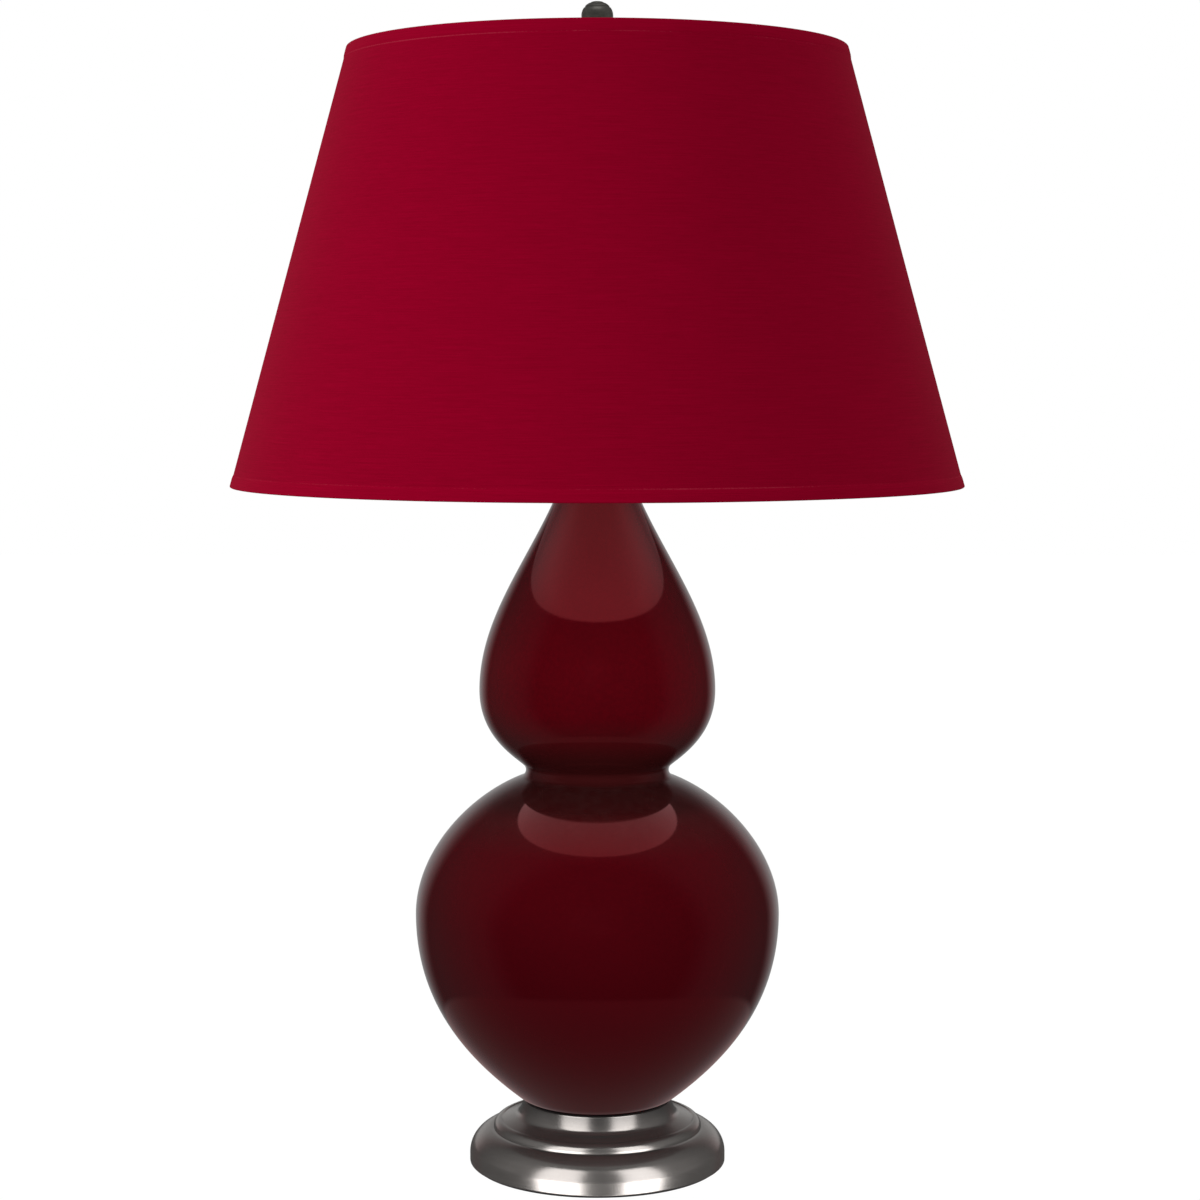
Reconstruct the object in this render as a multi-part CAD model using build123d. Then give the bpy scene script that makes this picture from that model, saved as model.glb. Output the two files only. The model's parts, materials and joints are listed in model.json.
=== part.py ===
"""Double gourd table lamp: glazed gourd body on a stepped metal base, tapered drum shade on a harp.

Millimetres, +Z up. The origin is the centre of the underside, on the table. The front is -Y.
The harp lies in the XZ plane, the switch key points to the front and the cord leaves at the back.
"""
import math
import os

from build123d import *

# ---------------------------------------------------------------- driving dimensions
fit = 0.05                    # radial clearance of a turning fit
slip = 0.1                    # clearance between pieces that are put together by hand
seat = 0.3                    # gap between pieces that move past each other

# base
felt_thickness = 1.5
felt_inset = 3.0
base_radius = 87.5
base_height = 44.5            # table to the lip that carries the body
base_wall = 2.0
foot_flange = 6.0             # width of the turned-in edge that carries the felt
flange_thickness = 1.5
band_height = 8.0             # top of the upright band at the foot
shoulder_round = 17.5         # large quarter round above the band
shoulder_sweep = 80.0
bead_radius = 71.2            # widest point of the upper tier
bead_round = 5.5
groove_depth = 0.6
cove_radius = 54.3            # corner of the cove, before its fillet
cove_height = 34.3
cove_fillet = 6.0
lip_radius = 50.3
lip_edge = 0.8
weight_radius = 43.0
weight_thickness = 21.0

# threaded pipe and what is clamped by it
pipe_radius = 4.9
pipe_bore = 3.3
pipe_tail = 4.0               # pipe that shows below the base nut
nut_flats = 15.0
nut_thickness = 5.0
washer_radius = 13.0
washer_thickness = 1.5
cord_height = 8.0
cord_bore = 3.2
bushing_wall = 1.2
bushing_flange = 1.6
bushing_length = 11.0

# gourd body
gasket_thickness = 1.0
gasket_width = 12.0
foot_radius = 50.5
belly_radius = 123.8
belly_height = 174.0
waist_radius = 48.6
waist_height = 272.3
waist_fillet = 5.5
crown_radius = 80.0
crown_height = 326.7
mouth_radius = 26.4
body_top = 462.0
body_wall = 5.5
body_floor = 9.0
foot_angle = 37.6             # rise of the wall at the foot, from level
fall_angle = 21.0             # rise of the lower bulb into the waist, from level
spring_angle = 40.9           # rise of the upper bulb out of the waist, from level
mouth_angle = 67.2            # rise of the wall at the mouth, from level
foot_pull = 0.41              # length of each curve's end handles, as a share of its height
belly_pull_below = 0.455
belly_pull_above = 0.415
fall_pull = 0.395
spring_pull = 0.184
crown_pull_below = 0.556
crown_pull_above = 0.368
mouth_pull = 0.374
chords_per_curve = 3          # flats of the inner wall along each curve of the outer one

# neck
cap_thickness = 6.0
cap_overhang = 2.0
cap_spigot = 4.0
cap_edge = 1.5                # upright edge of the cap
cap_land = 1.0                # level ring round the foot of the neck
cap_bulge = 1.5               # how far the cap's slope swells past a straight cone
neck_length = 18.0
neck_radius = 12.0
neck_wall = 1.8
neck_hollow = 1.2             # depth of the neck's long hollow
neck_bead = 2.0               # plain band at each end of the neck

# harp
saddle_thickness = 1.8
saddle_width = 12.0
saddle_tip = 6.0              # width of the strip at its ends
saddle_shoulder = 12.0        # lamp axis to where the strip starts to taper
harp_leg = 31.0               # lamp axis to the centre of a harp leg
wire_radius = 1.9
ear_width = 3.4
ear_thickness = 1.5
ear_height = 12.0
sleeve_bore = 3.4
sleeve_wall = 0.8
sleeve_length = 17.0
sleeve_lift = 13.0
leg_spare = 10.0              # straight leg left above a raised sleeve
harp_half_width = 57.0
harp_flare = 0.18             # height over which the legs flare, as a share of the harp's height
harp_shoulder = 0.29          # height over which the sides draw in again, as the same share
harp_crown = 0.55             # half width of the level top, as a share of the harp's half width
leg_bend = 24.0
side_bend = 60.0
crown_bend = 30.0
boss_radius = 9.0
boss_thickness = 4.2           # thicker than the wire, which runs through it

# shade
lamp_height = 787.0
finial_rise = 32.0            # top of the shade to the top of the finial
shade_height = 289.0
shade_bottom_radius = 245.2
shade_top_radius = 166.0
skin_thickness = 0.6
liner_thickness = 0.9
hem_thickness = 0.5
hem_height = 8.0
hem_lip = 0.7
ring_wire = 1.6
seam_width = 9.0
hub_drop = 12.0               # shade top to the middle of the spider's hub
hub_radius = 11.0
hub_thickness = 2.0
arm_radius = 1.6
arm_bend = 12.0               # radial length of the rising end of each arm
arm_fillet = 5.0
arm_lap = 1.5                 # length of each arm inside the hub
arm_count = 3

# stud and finial
stud_radius = 3.15
stud_shoulder = 8.0
stud_shoulder_thickness = 2.5
stud_head_radius = 5.7
stud_head_thickness = 1.6
stud_length = 14.0
finial_radius = 10.6
finial_dome = 9.5             # height of the dome above its widest point
finial_flat = 2.4             # radius of the flat on top
finial_rings = (0.3, 0.6)      # places of the dome's rings, as shares of its quarter turn
finial_groove = 0.25
finial_cup = 11.5             # height of the hollow cup below the dome
finial_neck = 4.8
finial_base = 7.5
finial_base_height = 3.0
finial_base_slope = 4.0
bore_spare = 2.0              # finial's bore beyond the end of the stud

# socket
socket_cap_radius = 17.0
socket_cap_height = 18.0
socket_wall = 0.8
cap_collar = 2.2              # wall of the collar round the pipe
cap_collar_height = 6.0
bell_height = 8.0
bell_corner = 2.0
pipe_engagement = 10.0        # pipe inside the socket
socket_lap = 2.0              # shell inside the cap
socket_shell_height = 40.0
rim_height = 1.0
rim_bulge = 0.5
sleeve_paper = 0.8
core_height = 20.0
screw_shell_height = 20.0
screw_shell_wall = 0.4
screw_shell_hole = 6.0
contact_radius = 3.6
contact_rise = 2.4
terminal_radius = 2.6
terminal_length = 1.6
terminal_slot = 0.6           # width and depth of the slot in each screw head
key_radius = 1.7
key_window = 2.0              # room round the key in the shell
key_inner_end = 6.0           # lamp axis to the inner end of the key
key_reach = 20.0              # lamp axis to the back of the turning knob
key_knob_length = 12.0
key_knob_radius = 4.6
key_ribs = 8
key_groove = 0.8

# bulb
bulb_screw_radius = 13.0
bulb_screw_height = 22.0
bulb_screw_taper = 2.0
bulb_skirt = 0.6
bulb_insulator_height = 4.0
insulator_step = 1.0
bulb_tip_radius = 4.0
bulb_tip_height = 2.0
bulb_radius = 30.0
bulb_length = 108.0
bulb_neck_radius = 14.5
bulb_glass = 1.0
bulb_join_angle = -35.0       # where the neck meets the globe, from level
bulb_foot = 2.0               # solid glass at the foot of the neck
neck_pull = 14.0              # handles of the curve from neck to globe
globe_pull = 12.0

# ---------------------------------------------------------------- heights worked out upwards
base_top_plate = base_height - base_wall
washer_bottom = base_top_plate - weight_thickness - washer_thickness
base_nut_bottom = washer_bottom - nut_thickness
pipe_bottom = base_nut_bottom - pipe_tail
body_bottom = base_height + gasket_thickness
cap_bottom = body_top + gasket_thickness
cap_top = cap_bottom + cap_thickness
neck_top = cap_top + neck_length
saddle_top = neck_top + saddle_thickness
socket_bottom = saddle_top + nut_thickness
socket_cap_top = socket_bottom + socket_cap_height
pipe_top = socket_bottom + pipe_engagement
core_bottom = socket_cap_top - socket_lap
core_top = core_bottom + core_height
contact_height = core_top + contact_rise
bulb_bottom = contact_height + slip
bulb_glass_bottom = bulb_bottom + bulb_tip_height + bulb_insulator_height + bulb_screw_height
bulb_centre = bulb_bottom + bulb_length - bulb_radius
key_height = core_bottom + core_height / 2
shade_top = lamp_height - finial_rise
shade_bottom = shade_top - shade_height
hub_bottom = shade_top - hub_drop - hub_thickness / 2
hub_top = hub_bottom + hub_thickness
boss_top = hub_bottom - stud_shoulder_thickness - slip
boss_bottom = boss_top - boss_thickness
shade_slope = (shade_bottom_radius - shade_top_radius) / (shade_top - shade_bottom)


# ---------------------------------------------------------------- shared shapes
def turned(*edges):
    """Solid turned about the lamp's axis from a closed outline drawn as (radius, height)."""
    outline = make_face(Wire(list(edges)))
    return revolve(Plane.XZ * outline, Axis.Z)


def turned_points(*points):
    """Solid turned about the lamp's axis from the corners of its outline."""
    return turned(*Polyline(*points, close=True).edges())


def collar(inner, outer, bottom, height):
    """Plain ring, or a disc where the inner radius is 0."""
    return turned_points((inner, bottom), (outer, bottom), (outer, bottom + height), (inner, bottom + height))


def wall_points(curves, wall):
    """Corners of a faceted inner wall, a wall's thickness inside curves that run upwards."""
    corners = []
    for curve in curves:
        for step in range(chords_per_curve):
            share = step / chords_per_curve
            corner = (curve @ share) + (curve % share).rotate(Axis.Z, 90) * wall
            corners.append((corner.X, corner.Y))
    return corners


def hex_nut(bottom):
    """Hexagon nut on the threaded pipe."""
    blank = RegularPolygon(nut_flats / 2, 6, major_radius=False) - Circle(pipe_radius + fit)
    return Pos(0, 0, bottom) * extrude(blank, nut_thickness)


def shade_radius(height, inset=0.0):
    """Radius of the shade's cone at a height, moved in from the outer face of the fabric."""
    return shade_top_radius + (shade_top - height) * shade_slope - inset


def cone_wall(bottom, top, inset, thickness):
    """Thin conical wall that follows the shade."""
    return turned_points(
        (shade_radius(bottom, inset), bottom),
        (shade_radius(top, inset), top),
        (shade_radius(top, inset + thickness), top),
        (shade_radius(bottom, inset + thickness), bottom),
    )


# ---------------------------------------------------------------- base
def plinth_outline():
    """Outer outline of the base from the table edge to the lip, as joined edges."""
    band = Line((base_radius, felt_thickness), (base_radius, band_height))
    shoulder = JernArc((base_radius, band_height), (0, 1), shoulder_round, shoulder_sweep)
    corner = shoulder @ 1
    bead_start = (bead_radius, corner.Y + groove_depth)
    bead_end = (bead_radius - bead_round, bead_start[1] + bead_round)
    step = Polyline(corner, (bead_radius, corner.Y), bead_start)
    bead = JernArc(bead_start, (0, 1), bead_round, 90)
    groove = (bead_end[0] - groove_depth, bead_end[1] - groove_depth)
    into_groove = Line(bead_end, groove)
    cove = FilletPolyline(
        groove, (cove_radius, cove_height), (lip_radius, base_height - lip_edge), radius=cove_fillet
    )
    lip = Line((lip_radius, base_height - lip_edge), (lip_radius - lip_edge, base_height))
    return [band, shoulder, *step.edges(), bead, into_groove, *cove.edges(), lip]


def base_plinth():
    """Spun metal base: band, quarter round, bead and cove, hollow, with a turned-in foot for the felt."""
    inner_side = base_radius - base_wall
    foot_edge = base_radius - foot_flange
    flange_top = felt_thickness + flange_thickness
    foot = Polyline(
        (base_radius, felt_thickness),
        (foot_edge, felt_thickness),
        (foot_edge, flange_top),
        (inner_side, flange_top),
        (inner_side, band_height),
    )
    shoulder = JernArc((inner_side, band_height), (0, 1), shoulder_round - base_wall, shoulder_sweep)
    bead_top = (shoulder @ 1).Y + base_wall + bead_round
    underside = Polyline(
        shoulder @ 1,
        (bead_radius - bead_round, bead_top - base_wall),
        (cove_radius - base_wall, cove_height - base_wall),
        (lip_radius - base_wall, base_top_plate),
        (pipe_radius + slip, base_top_plate),
        (pipe_radius + slip, base_height),
        (lip_radius - lip_edge, base_height),
    )
    shell = turned(*plinth_outline(), *foot.edges(), shoulder, *underside.edges())
    inlet = Cylinder(cord_bore + bushing_wall + slip, 3 * bushing_length)
    return shell - Pos(0, base_radius, cord_height) * Rot(X=90) * inlet


def base_felt():
    """Felt disc under the base, inset from its edge."""
    return collar(0, base_radius - felt_inset, 0, felt_thickness)


def cord_bushing():
    """Plastic grommet in the back of the base, bored for the cord, with a flange outside."""
    tube = Cylinder(cord_bore + bushing_wall, bushing_length) - Cylinder(cord_bore, bushing_length)
    flange_radius = cord_bore + 2 * bushing_wall
    flange = Cylinder(flange_radius, bushing_flange) - Cylinder(cord_bore, bushing_flange)
    flange_centre = (bushing_length - bushing_flange) / 2
    grommet = tube + Pos(0, 0, flange_centre) * flange
    outer_face = base_radius + bushing_flange
    return Pos(0, outer_face - bushing_length / 2, cord_height) * Rot(X=-90) * grommet


def base_weight():
    """Cast iron disc clamped under the top of the base."""
    return collar(pipe_radius + slip, weight_radius, base_top_plate - weight_thickness, weight_thickness)


def base_washer():
    """Washer between the weight and its nut."""
    return collar(pipe_radius + slip, washer_radius, washer_bottom, washer_thickness)


def lamp_pipe():
    """Threaded pipe that holds base, body and neck together and carries the leads."""
    return collar(pipe_bore, pipe_radius, pipe_bottom, pipe_top - pipe_bottom)


# ---------------------------------------------------------------- gourd body
def gourd_curves():
    """Outer curves of the double gourd from foot to mouth, each starting where the last one ends."""
    def span(start, start_angle, start_pull, end, end_angle, end_pull):
        """Curve between two points, with a handle of some length set off from each at an angle."""
        first = Vector(start) + Vector(start_pull, 0).rotate(Axis.Z, start_angle)
        second = Vector(end) + Vector(end_pull, 0).rotate(Axis.Z, end_angle)
        return Bezier(start, first, second, end)

    foot = (foot_radius, body_bottom)
    belly = (belly_radius, belly_height)
    crown = (crown_radius, crown_height)
    mouth = (mouth_radius, body_top)
    rise = belly_height - body_bottom
    drop = waist_height - belly_height
    spring = crown_height - waist_height
    climb = body_top - crown_height
    waist = CenterArc(
        (waist_radius + waist_fillet, waist_height),
        waist_fillet,
        270 - fall_angle,
        fall_angle + spring_angle - 180,
    )
    lower, upper = waist @ 0, waist @ 1
    return [
        span(foot, foot_angle, foot_pull * rise, belly, -90, belly_pull_below * rise),
        span(belly, 90, belly_pull_above * drop, lower, -fall_angle, fall_pull * drop),
        waist,
        span(upper, spring_angle, spring_pull * spring, crown, -90, crown_pull_below * spring),
        span(crown, 90, crown_pull_above * climb, mouth, -mouth_angle, mouth_pull * climb),
    ]


def gourd_body():
    """Hollow ceramic body. The inner wall follows the outer curves in short cones."""
    curves = gourd_curves()
    inner = wall_points(curves, body_wall)
    inner = [point for point in inner if point[1] > body_bottom + body_floor]
    mouth_bore = mouth_radius - body_wall
    floor_radius = foot_radius - body_wall
    opening = pipe_radius + 2 * slip
    lip = Line((mouth_radius, body_top), (mouth_bore, body_top))
    wall = Polyline(
        (mouth_bore, body_top),
        *reversed(inner),
        (floor_radius, body_bottom + body_floor),
        (opening, body_bottom + body_floor),
        (opening, body_bottom),
        (foot_radius, body_bottom),
    )
    return turned(*curves, lip, *wall.edges())


def foot_gasket():
    """Dark rubber ring between the metal lip and the body."""
    outer = lip_radius - lip_edge
    return collar(outer - gasket_width, outer, base_height, gasket_thickness)


# ---------------------------------------------------------------- neck
def neck_gasket():
    """Thin ring between the body's mouth and the cap."""
    return collar(mouth_radius - body_wall, mouth_radius - slip, body_top, gasket_thickness)


def vase_cap():
    """Metal cap that closes the body, with a spigot that centres it in the mouth."""
    edge = mouth_radius + cap_overhang
    spigot = mouth_radius - body_wall - 2 * slip
    opening = pipe_radius + slip
    foot = (edge, cap_bottom + cap_edge)
    land = (neck_radius + cap_land, cap_top)
    swell = ((foot[0] + land[0]) / 2 + cap_bulge, (foot[1] + land[1]) / 2 + cap_bulge / 2)
    rest = Polyline(
        land,
        (opening, cap_top),
        (opening, cap_bottom - cap_spigot),
        (spigot, cap_bottom - cap_spigot),
        (spigot, cap_bottom),
        (edge, cap_bottom),
        foot,
    )
    return turned(ThreePointArc(foot, swell, land), *rest.edges())


def neck_sleeve():
    """Turned metal sleeve that hides the lock nut and holds the harp above the cap."""
    low = (neck_radius, cap_top + neck_bead)
    high = (neck_radius, neck_top - neck_bead)
    hollow_radius = neck_radius - neck_hollow
    bore = hollow_radius - neck_wall
    opening = pipe_radius + slip
    rest = Polyline(
        high,
        (neck_radius, neck_top),
        (opening, neck_top),
        (opening, neck_top - neck_wall),
        (bore, neck_top - neck_wall),
        (bore, cap_top),
        (neck_radius, cap_top),
        low,
    )
    return turned(ThreePointArc(low, (hollow_radius, (low[1] + high[1]) / 2), high), *rest.edges())


# ---------------------------------------------------------------- harp
def harp_saddle():
    """Flat strip clamped on the pipe, with an upright ear at each end for the harp's legs."""
    inner_face = harp_leg + wire_radius + slip
    outer_face = inner_face + ear_thickness
    corners = [
        (outer_face, saddle_tip / 2),
        (saddle_shoulder, saddle_width / 2),
        (-saddle_shoulder, saddle_width / 2),
        (-outer_face, saddle_tip / 2),
    ]
    corners += [(x, -y) for x, y in reversed(corners)]
    plan = make_face(Polyline(*corners, close=True)) - Circle(pipe_radius + slip)
    strip = Pos(0, 0, neck_top) * extrude(plan, saddle_thickness)
    ears = [
        Pos(side * (inner_face + ear_thickness / 2), 0, saddle_top + ear_height / 2)
        * Box(ear_thickness, ear_width, ear_height)
        for side in (-1, 1)
    ]
    return strip + ears


def harp_path():
    """Centre line of the harp's wire: straight legs, bowed sides and a level top."""
    top = (boss_bottom + boss_top) / 2
    rise = top - saddle_top
    knee = saddle_top + sleeve_length + sleeve_lift + leg_spare
    half = [
        (harp_leg, saddle_top + slip),
        (harp_leg, knee),
        (harp_half_width, knee + harp_flare * rise),
        (harp_half_width, top - harp_shoulder * rise),
        (harp_crown * harp_half_width, top),
    ]
    points = half + [(-x, z) for x, z in reversed(half)]
    bends = [leg_bend, side_bend, side_bend, crown_bend]
    return FilletPolyline(*[(x, 0, z) for x, z in points], radius=bends + bends[::-1])


def harp():
    """Bent wire harp with a drilled boss at the top for the swivel stud."""
    path = harp_path()
    wire = sweep(Plane(path @ 0, z_dir=path % 0) * Circle(wire_radius), path)
    boss = collar(0, boss_radius, boss_bottom, boss_thickness)
    hole = collar(0, stud_radius + fit, boss_bottom - boss_thickness, 3 * boss_thickness)
    return wire + boss - hole


def harp_sleeve(side):
    """Sliding sleeve that locks a harp leg to its ear."""
    tube = collar(sleeve_bore, sleeve_bore + sleeve_wall, saddle_top + seat, sleeve_length)
    return Pos(side * (harp_leg + ear_thickness / 2), 0, 0) * tube


def harp_stud():
    """Swivel stud: a head under the harp's boss, a shoulder for the shade and a thread for the finial."""
    head_top = boss_bottom - slip
    head_bottom = head_top - stud_head_thickness
    return turned_points(
        (0, head_bottom),
        (stud_head_radius, head_bottom),
        (stud_head_radius, head_top),
        (stud_radius, head_top),
        (stud_radius, boss_top + slip),
        (stud_shoulder, boss_top + slip),
        (stud_shoulder, hub_bottom),
        (stud_radius, hub_bottom),
        (stud_radius, hub_top + stud_length),
        (0, hub_top + stud_length),
    )


# ---------------------------------------------------------------- shade
def ring_radius(height):
    """Radius of a wire ring that lies against the inside of the liner at a height."""
    clear = ring_wire / math.cos(math.atan(shade_slope)) + slip
    return shade_radius(height, skin_thickness + liner_thickness) - clear


def wire_ring(height):
    """Ring of round wire inside the shade."""
    return Pos(0, 0, height) * Torus(ring_radius(height), ring_wire)


def shade_spider():
    """Top ring with three bent arms and a washer-shaped hub, brazed into one piece."""
    ring_height = shade_top - ring_wire - hem_thickness
    hub_height = (hub_bottom + hub_top) / 2
    reach = ring_radius(ring_height)
    end_height = ring_height - hem_lip
    path = FilletPolyline(
        (hub_radius - arm_lap, 0, hub_height),
        (reach - 2 * arm_bend, 0, hub_height),
        (reach - arm_bend, 0, end_height),
        (reach, 0, end_height),
        radius=arm_fillet,
    )
    arm = sweep(Plane(path @ 0, z_dir=path % 0) * Circle(arm_radius), path)
    fitter = wire_ring(ring_height) + collar(0, hub_radius, hub_bottom, hub_thickness)
    for number in range(arm_count):
        fitter += Rot(Z=90 + number * 360 / arm_count) * arm
    return fitter - collar(0, stud_radius + slip, hub_bottom - hub_thickness, 3 * hub_thickness)


def shade_bottom_ring():
    """Wire ring that keeps the lower edge of the shade round."""
    return wire_ring(shade_bottom + ring_wire + hem_thickness)


def shade_liner():
    """Stiff white backing of the shade."""
    return cone_wall(shade_bottom, shade_top, skin_thickness, liner_thickness)


def shade_skin():
    """Fabric laid over the backing."""
    return cone_wall(shade_bottom, shade_top, 0, skin_thickness)


def shade_hem(edge, inward):
    """Folded fabric edge: a band outside, a turn over the rim and a short lip inside the ring."""
    depth = skin_thickness + liner_thickness + 2 * ring_wire + 3 * slip
    band = edge + inward * hem_height
    lip = edge + inward * hem_lip
    turn = edge - inward * hem_thickness
    return turned_points(
        (shade_radius(band, -hem_thickness), band),
        (shade_radius(edge, -hem_thickness), edge),
        (shade_radius(turn), turn),
        (shade_radius(turn, depth), turn),
        (shade_radius(edge, depth + hem_thickness), edge),
        (shade_radius(lip, depth + hem_thickness), lip),
        (shade_radius(lip, depth), lip),
        (shade_radius(edge, depth), edge),
        (shade_radius(edge), edge),
        (shade_radius(band), band),
    )


def shade_back_seam():
    """Lapped seam down the back of the fabric, between the two hems."""
    low = shade_bottom + hem_height + slip
    high = shade_top - hem_height - slip
    strip = cone_wall(low, high, -hem_thickness, hem_thickness)
    middle = (low + high) / 2
    return strip & Pos(0, shade_radius(middle), middle) * Box(seam_width, shade_bottom_radius, high - low)


# ---------------------------------------------------------------- finial
def dome_point(share):
    """Point of the finial's dome, from its top at share 0 to its widest at share 1."""
    turn = math.radians(90 * share)
    return finial_radius * math.sin(turn), lamp_height - finial_dome * (1 - math.cos(turn))


def finial():
    """Turned knob with a ringed dome, drilled to screw onto the stud."""
    bore = stud_radius + fit
    bore_top = hub_top + stud_length + bore_spare
    base_top = hub_top + finial_base_height
    outline = [(finial_flat, lamp_height)]
    for share in finial_rings:
        radius, height = dome_point(share)
        outline += [(radius, height), (radius - finial_groove, height - 2 * finial_groove)]
    widest = dome_point(1)
    neck = (finial_neck, widest[1] - finial_cup)
    cup_middle = (0.3 * finial_neck + 0.7 * finial_radius, widest[1] - 0.7 * finial_cup)
    dome = Polyline(*outline, widest)
    cup = ThreePointArc(widest, cup_middle, neck)
    stem = Polyline(
        neck,
        (finial_neck, base_top + finial_base_slope),
        (finial_base, base_top),
        (finial_base, hub_top),
        (bore, hub_top),
        (bore, bore_top),
        (0, bore_top),
        (0, lamp_height),
        (finial_flat, lamp_height),
    )
    return turned(*dome.edges(), cup, *stem.edges())


# ---------------------------------------------------------------- socket
def socket_cap():
    """Bell-shaped metal cap screwed on the pipe under the socket."""
    collar_radius = pipe_radius + cap_collar
    bell_bottom = socket_bottom + cap_collar_height
    bell_top = bell_bottom + bell_height
    return turned_points(
        (collar_radius, socket_bottom),
        (collar_radius, bell_bottom),
        (socket_cap_radius - bell_corner, bell_top - bell_corner),
        (socket_cap_radius, bell_top),
        (socket_cap_radius, socket_cap_top),
        (socket_cap_radius - socket_wall, socket_cap_top),
        (socket_cap_radius - socket_wall, bell_top + socket_wall / 2),
        (pipe_radius + fit, bell_bottom + socket_wall),
        (pipe_radius + fit, socket_bottom),
    )


def shell_radius():
    """Outer radius of the socket's shell, which slips into the cap."""
    return socket_cap_radius - socket_wall - slip


def socket_shell():
    """Metal shell of the socket, with a rolled rim and a hole for the switch key."""
    outer = shell_radius()
    bottom = core_bottom
    top = bottom + socket_shell_height
    shell = turned_points(
        (outer, bottom),
        (outer, top - 2 * rim_height),
        (outer + rim_bulge, top - rim_height),
        (outer, top),
        (outer - socket_wall, top),
        (outer - socket_wall, bottom),
    )
    return shell - key_hole(key_radius + key_window)


def insulating_sleeve():
    """Insulating sleeve inside the socket's shell."""
    outer = shell_radius() - socket_wall - slip
    tube = collar(outer - sleeve_paper, outer, core_bottom, socket_shell_height - rim_height)
    return tube - key_hole(key_radius + key_window)


def core_radius():
    """Radius of the moulded core inside the insulating sleeve."""
    return shell_radius() - socket_wall - sleeve_paper - 2 * slip


def key_hole(radius):
    """Cylinder from the lamp's axis towards the front at the height of the switch key."""
    return Pos(0, -key_reach / 2, key_height) * Rot(X=90) * Cylinder(radius, key_reach)


def socket_core():
    """Moulded core that holds the screw shell, the contact, the terminals and the switch."""
    core = collar(0, core_radius(), core_bottom, core_height)
    core -= key_hole(key_radius + fit)
    face = core_radius() - terminal_length - slip
    block = 4 * terminal_radius
    for side in (-1, 1):
        core -= Pos(side * (face + block / 2), 0, key_height) * Box(block, block, block)
    return core


def terminal_screws():
    """Two terminal screws on the flats of the core."""
    face = core_radius() - terminal_length - slip
    head = Rot(Y=90) * Cylinder(terminal_radius, terminal_length)
    slot = Box(terminal_length, 2 * terminal_radius, terminal_slot)
    screws = []
    for side in (-1, 1):
        screw = head - Pos(side * (terminal_length - terminal_slot), 0, 0) * slot
        screws.append(Pos(side * (face + terminal_length / 2), 0, key_height) * screw)
    return Compound(children=screws)


def screw_shell():
    """Brass screw shell that takes the bulb's base."""
    inner = bulb_screw_radius + seat
    outer = inner + screw_shell_wall
    return turned_points(
        (screw_shell_hole, core_top),
        (outer, core_top),
        (outer, core_top + screw_shell_height),
        (inner, core_top + screw_shell_height),
        (inner, core_top + screw_shell_wall),
        (screw_shell_hole, core_top + screw_shell_wall),
    )


def centre_contact():
    """Brass contact leaf in the middle of the core, raised to meet the bulb."""
    return collar(0, contact_radius, core_top, contact_rise)


def switch_key():
    """Turning key of the switch: a round shaft with a ribbed knob."""
    shaft_middle = (key_inner_end + key_reach) / 2
    shaft = Pos(0, -shaft_middle, key_height) * Rot(X=90) * Cylinder(key_radius, key_reach - key_inner_end)
    grip = Circle(key_knob_radius)
    for number in range(key_ribs):
        grip -= Rot(Z=number * 360 / key_ribs) * Pos(key_knob_radius, 0) * Circle(key_groove)
    return shaft + Pos(0, -key_reach, key_height) * Rot(X=90) * extrude(grip, key_knob_length)


# ---------------------------------------------------------------- bulb
def bulb_globe():
    """Frosted glass globe with a neck that widens into the sphere, hollow above its sealed foot."""
    dome = CenterArc((0, bulb_centre), bulb_radius, bulb_join_angle, 90 - bulb_join_angle)
    foot = (bulb_neck_radius, bulb_glass_bottom)
    neck = Bezier(
        foot,
        (bulb_neck_radius, bulb_glass_bottom + neck_pull),
        (dome @ 0) - (dome % 0) * globe_pull,
        dome @ 0,
    )
    crown = (0, bulb_centre + bulb_radius)
    floor = bulb_glass_bottom + bulb_foot
    inner = [point for point in wall_points([neck, dome], bulb_glass) if point[1] > floor]
    hollow = Polyline(
        crown,
        (0, crown[1] - bulb_glass),
        *reversed(inner),
        (bulb_neck_radius - bulb_glass, floor),
        (0, floor),
        (0, bulb_glass_bottom),
        foot,
    )
    return turned(neck, dome, *hollow.edges())


def bulb_screw_base():
    """Metal screw base of the bulb, without its thread."""
    bottom = bulb_glass_bottom - bulb_screw_height
    return turned_points(
        (0, bottom),
        (bulb_screw_radius - bulb_screw_taper, bottom),
        (bulb_screw_radius, bottom + bulb_screw_taper),
        (bulb_screw_radius, bulb_glass_bottom - bulb_screw_taper),
        (bulb_screw_radius + bulb_skirt, bulb_glass_bottom),
        (0, bulb_glass_bottom),
    )


def bulb_insulator():
    """Dark glass cone at the end of the bulb's base."""
    bottom = bulb_bottom + bulb_tip_height
    top = bottom + bulb_insulator_height
    narrow = bulb_tip_radius + insulator_step
    wide = bulb_screw_radius - bulb_screw_taper - insulator_step / 2
    return turned_points((0, bottom), (narrow, bottom), (wide, top), (0, top))


def bulb_tip():
    """Solder tip that meets the centre contact."""
    return collar(0, bulb_tip_radius, bulb_bottom, bulb_tip_height)


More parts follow.
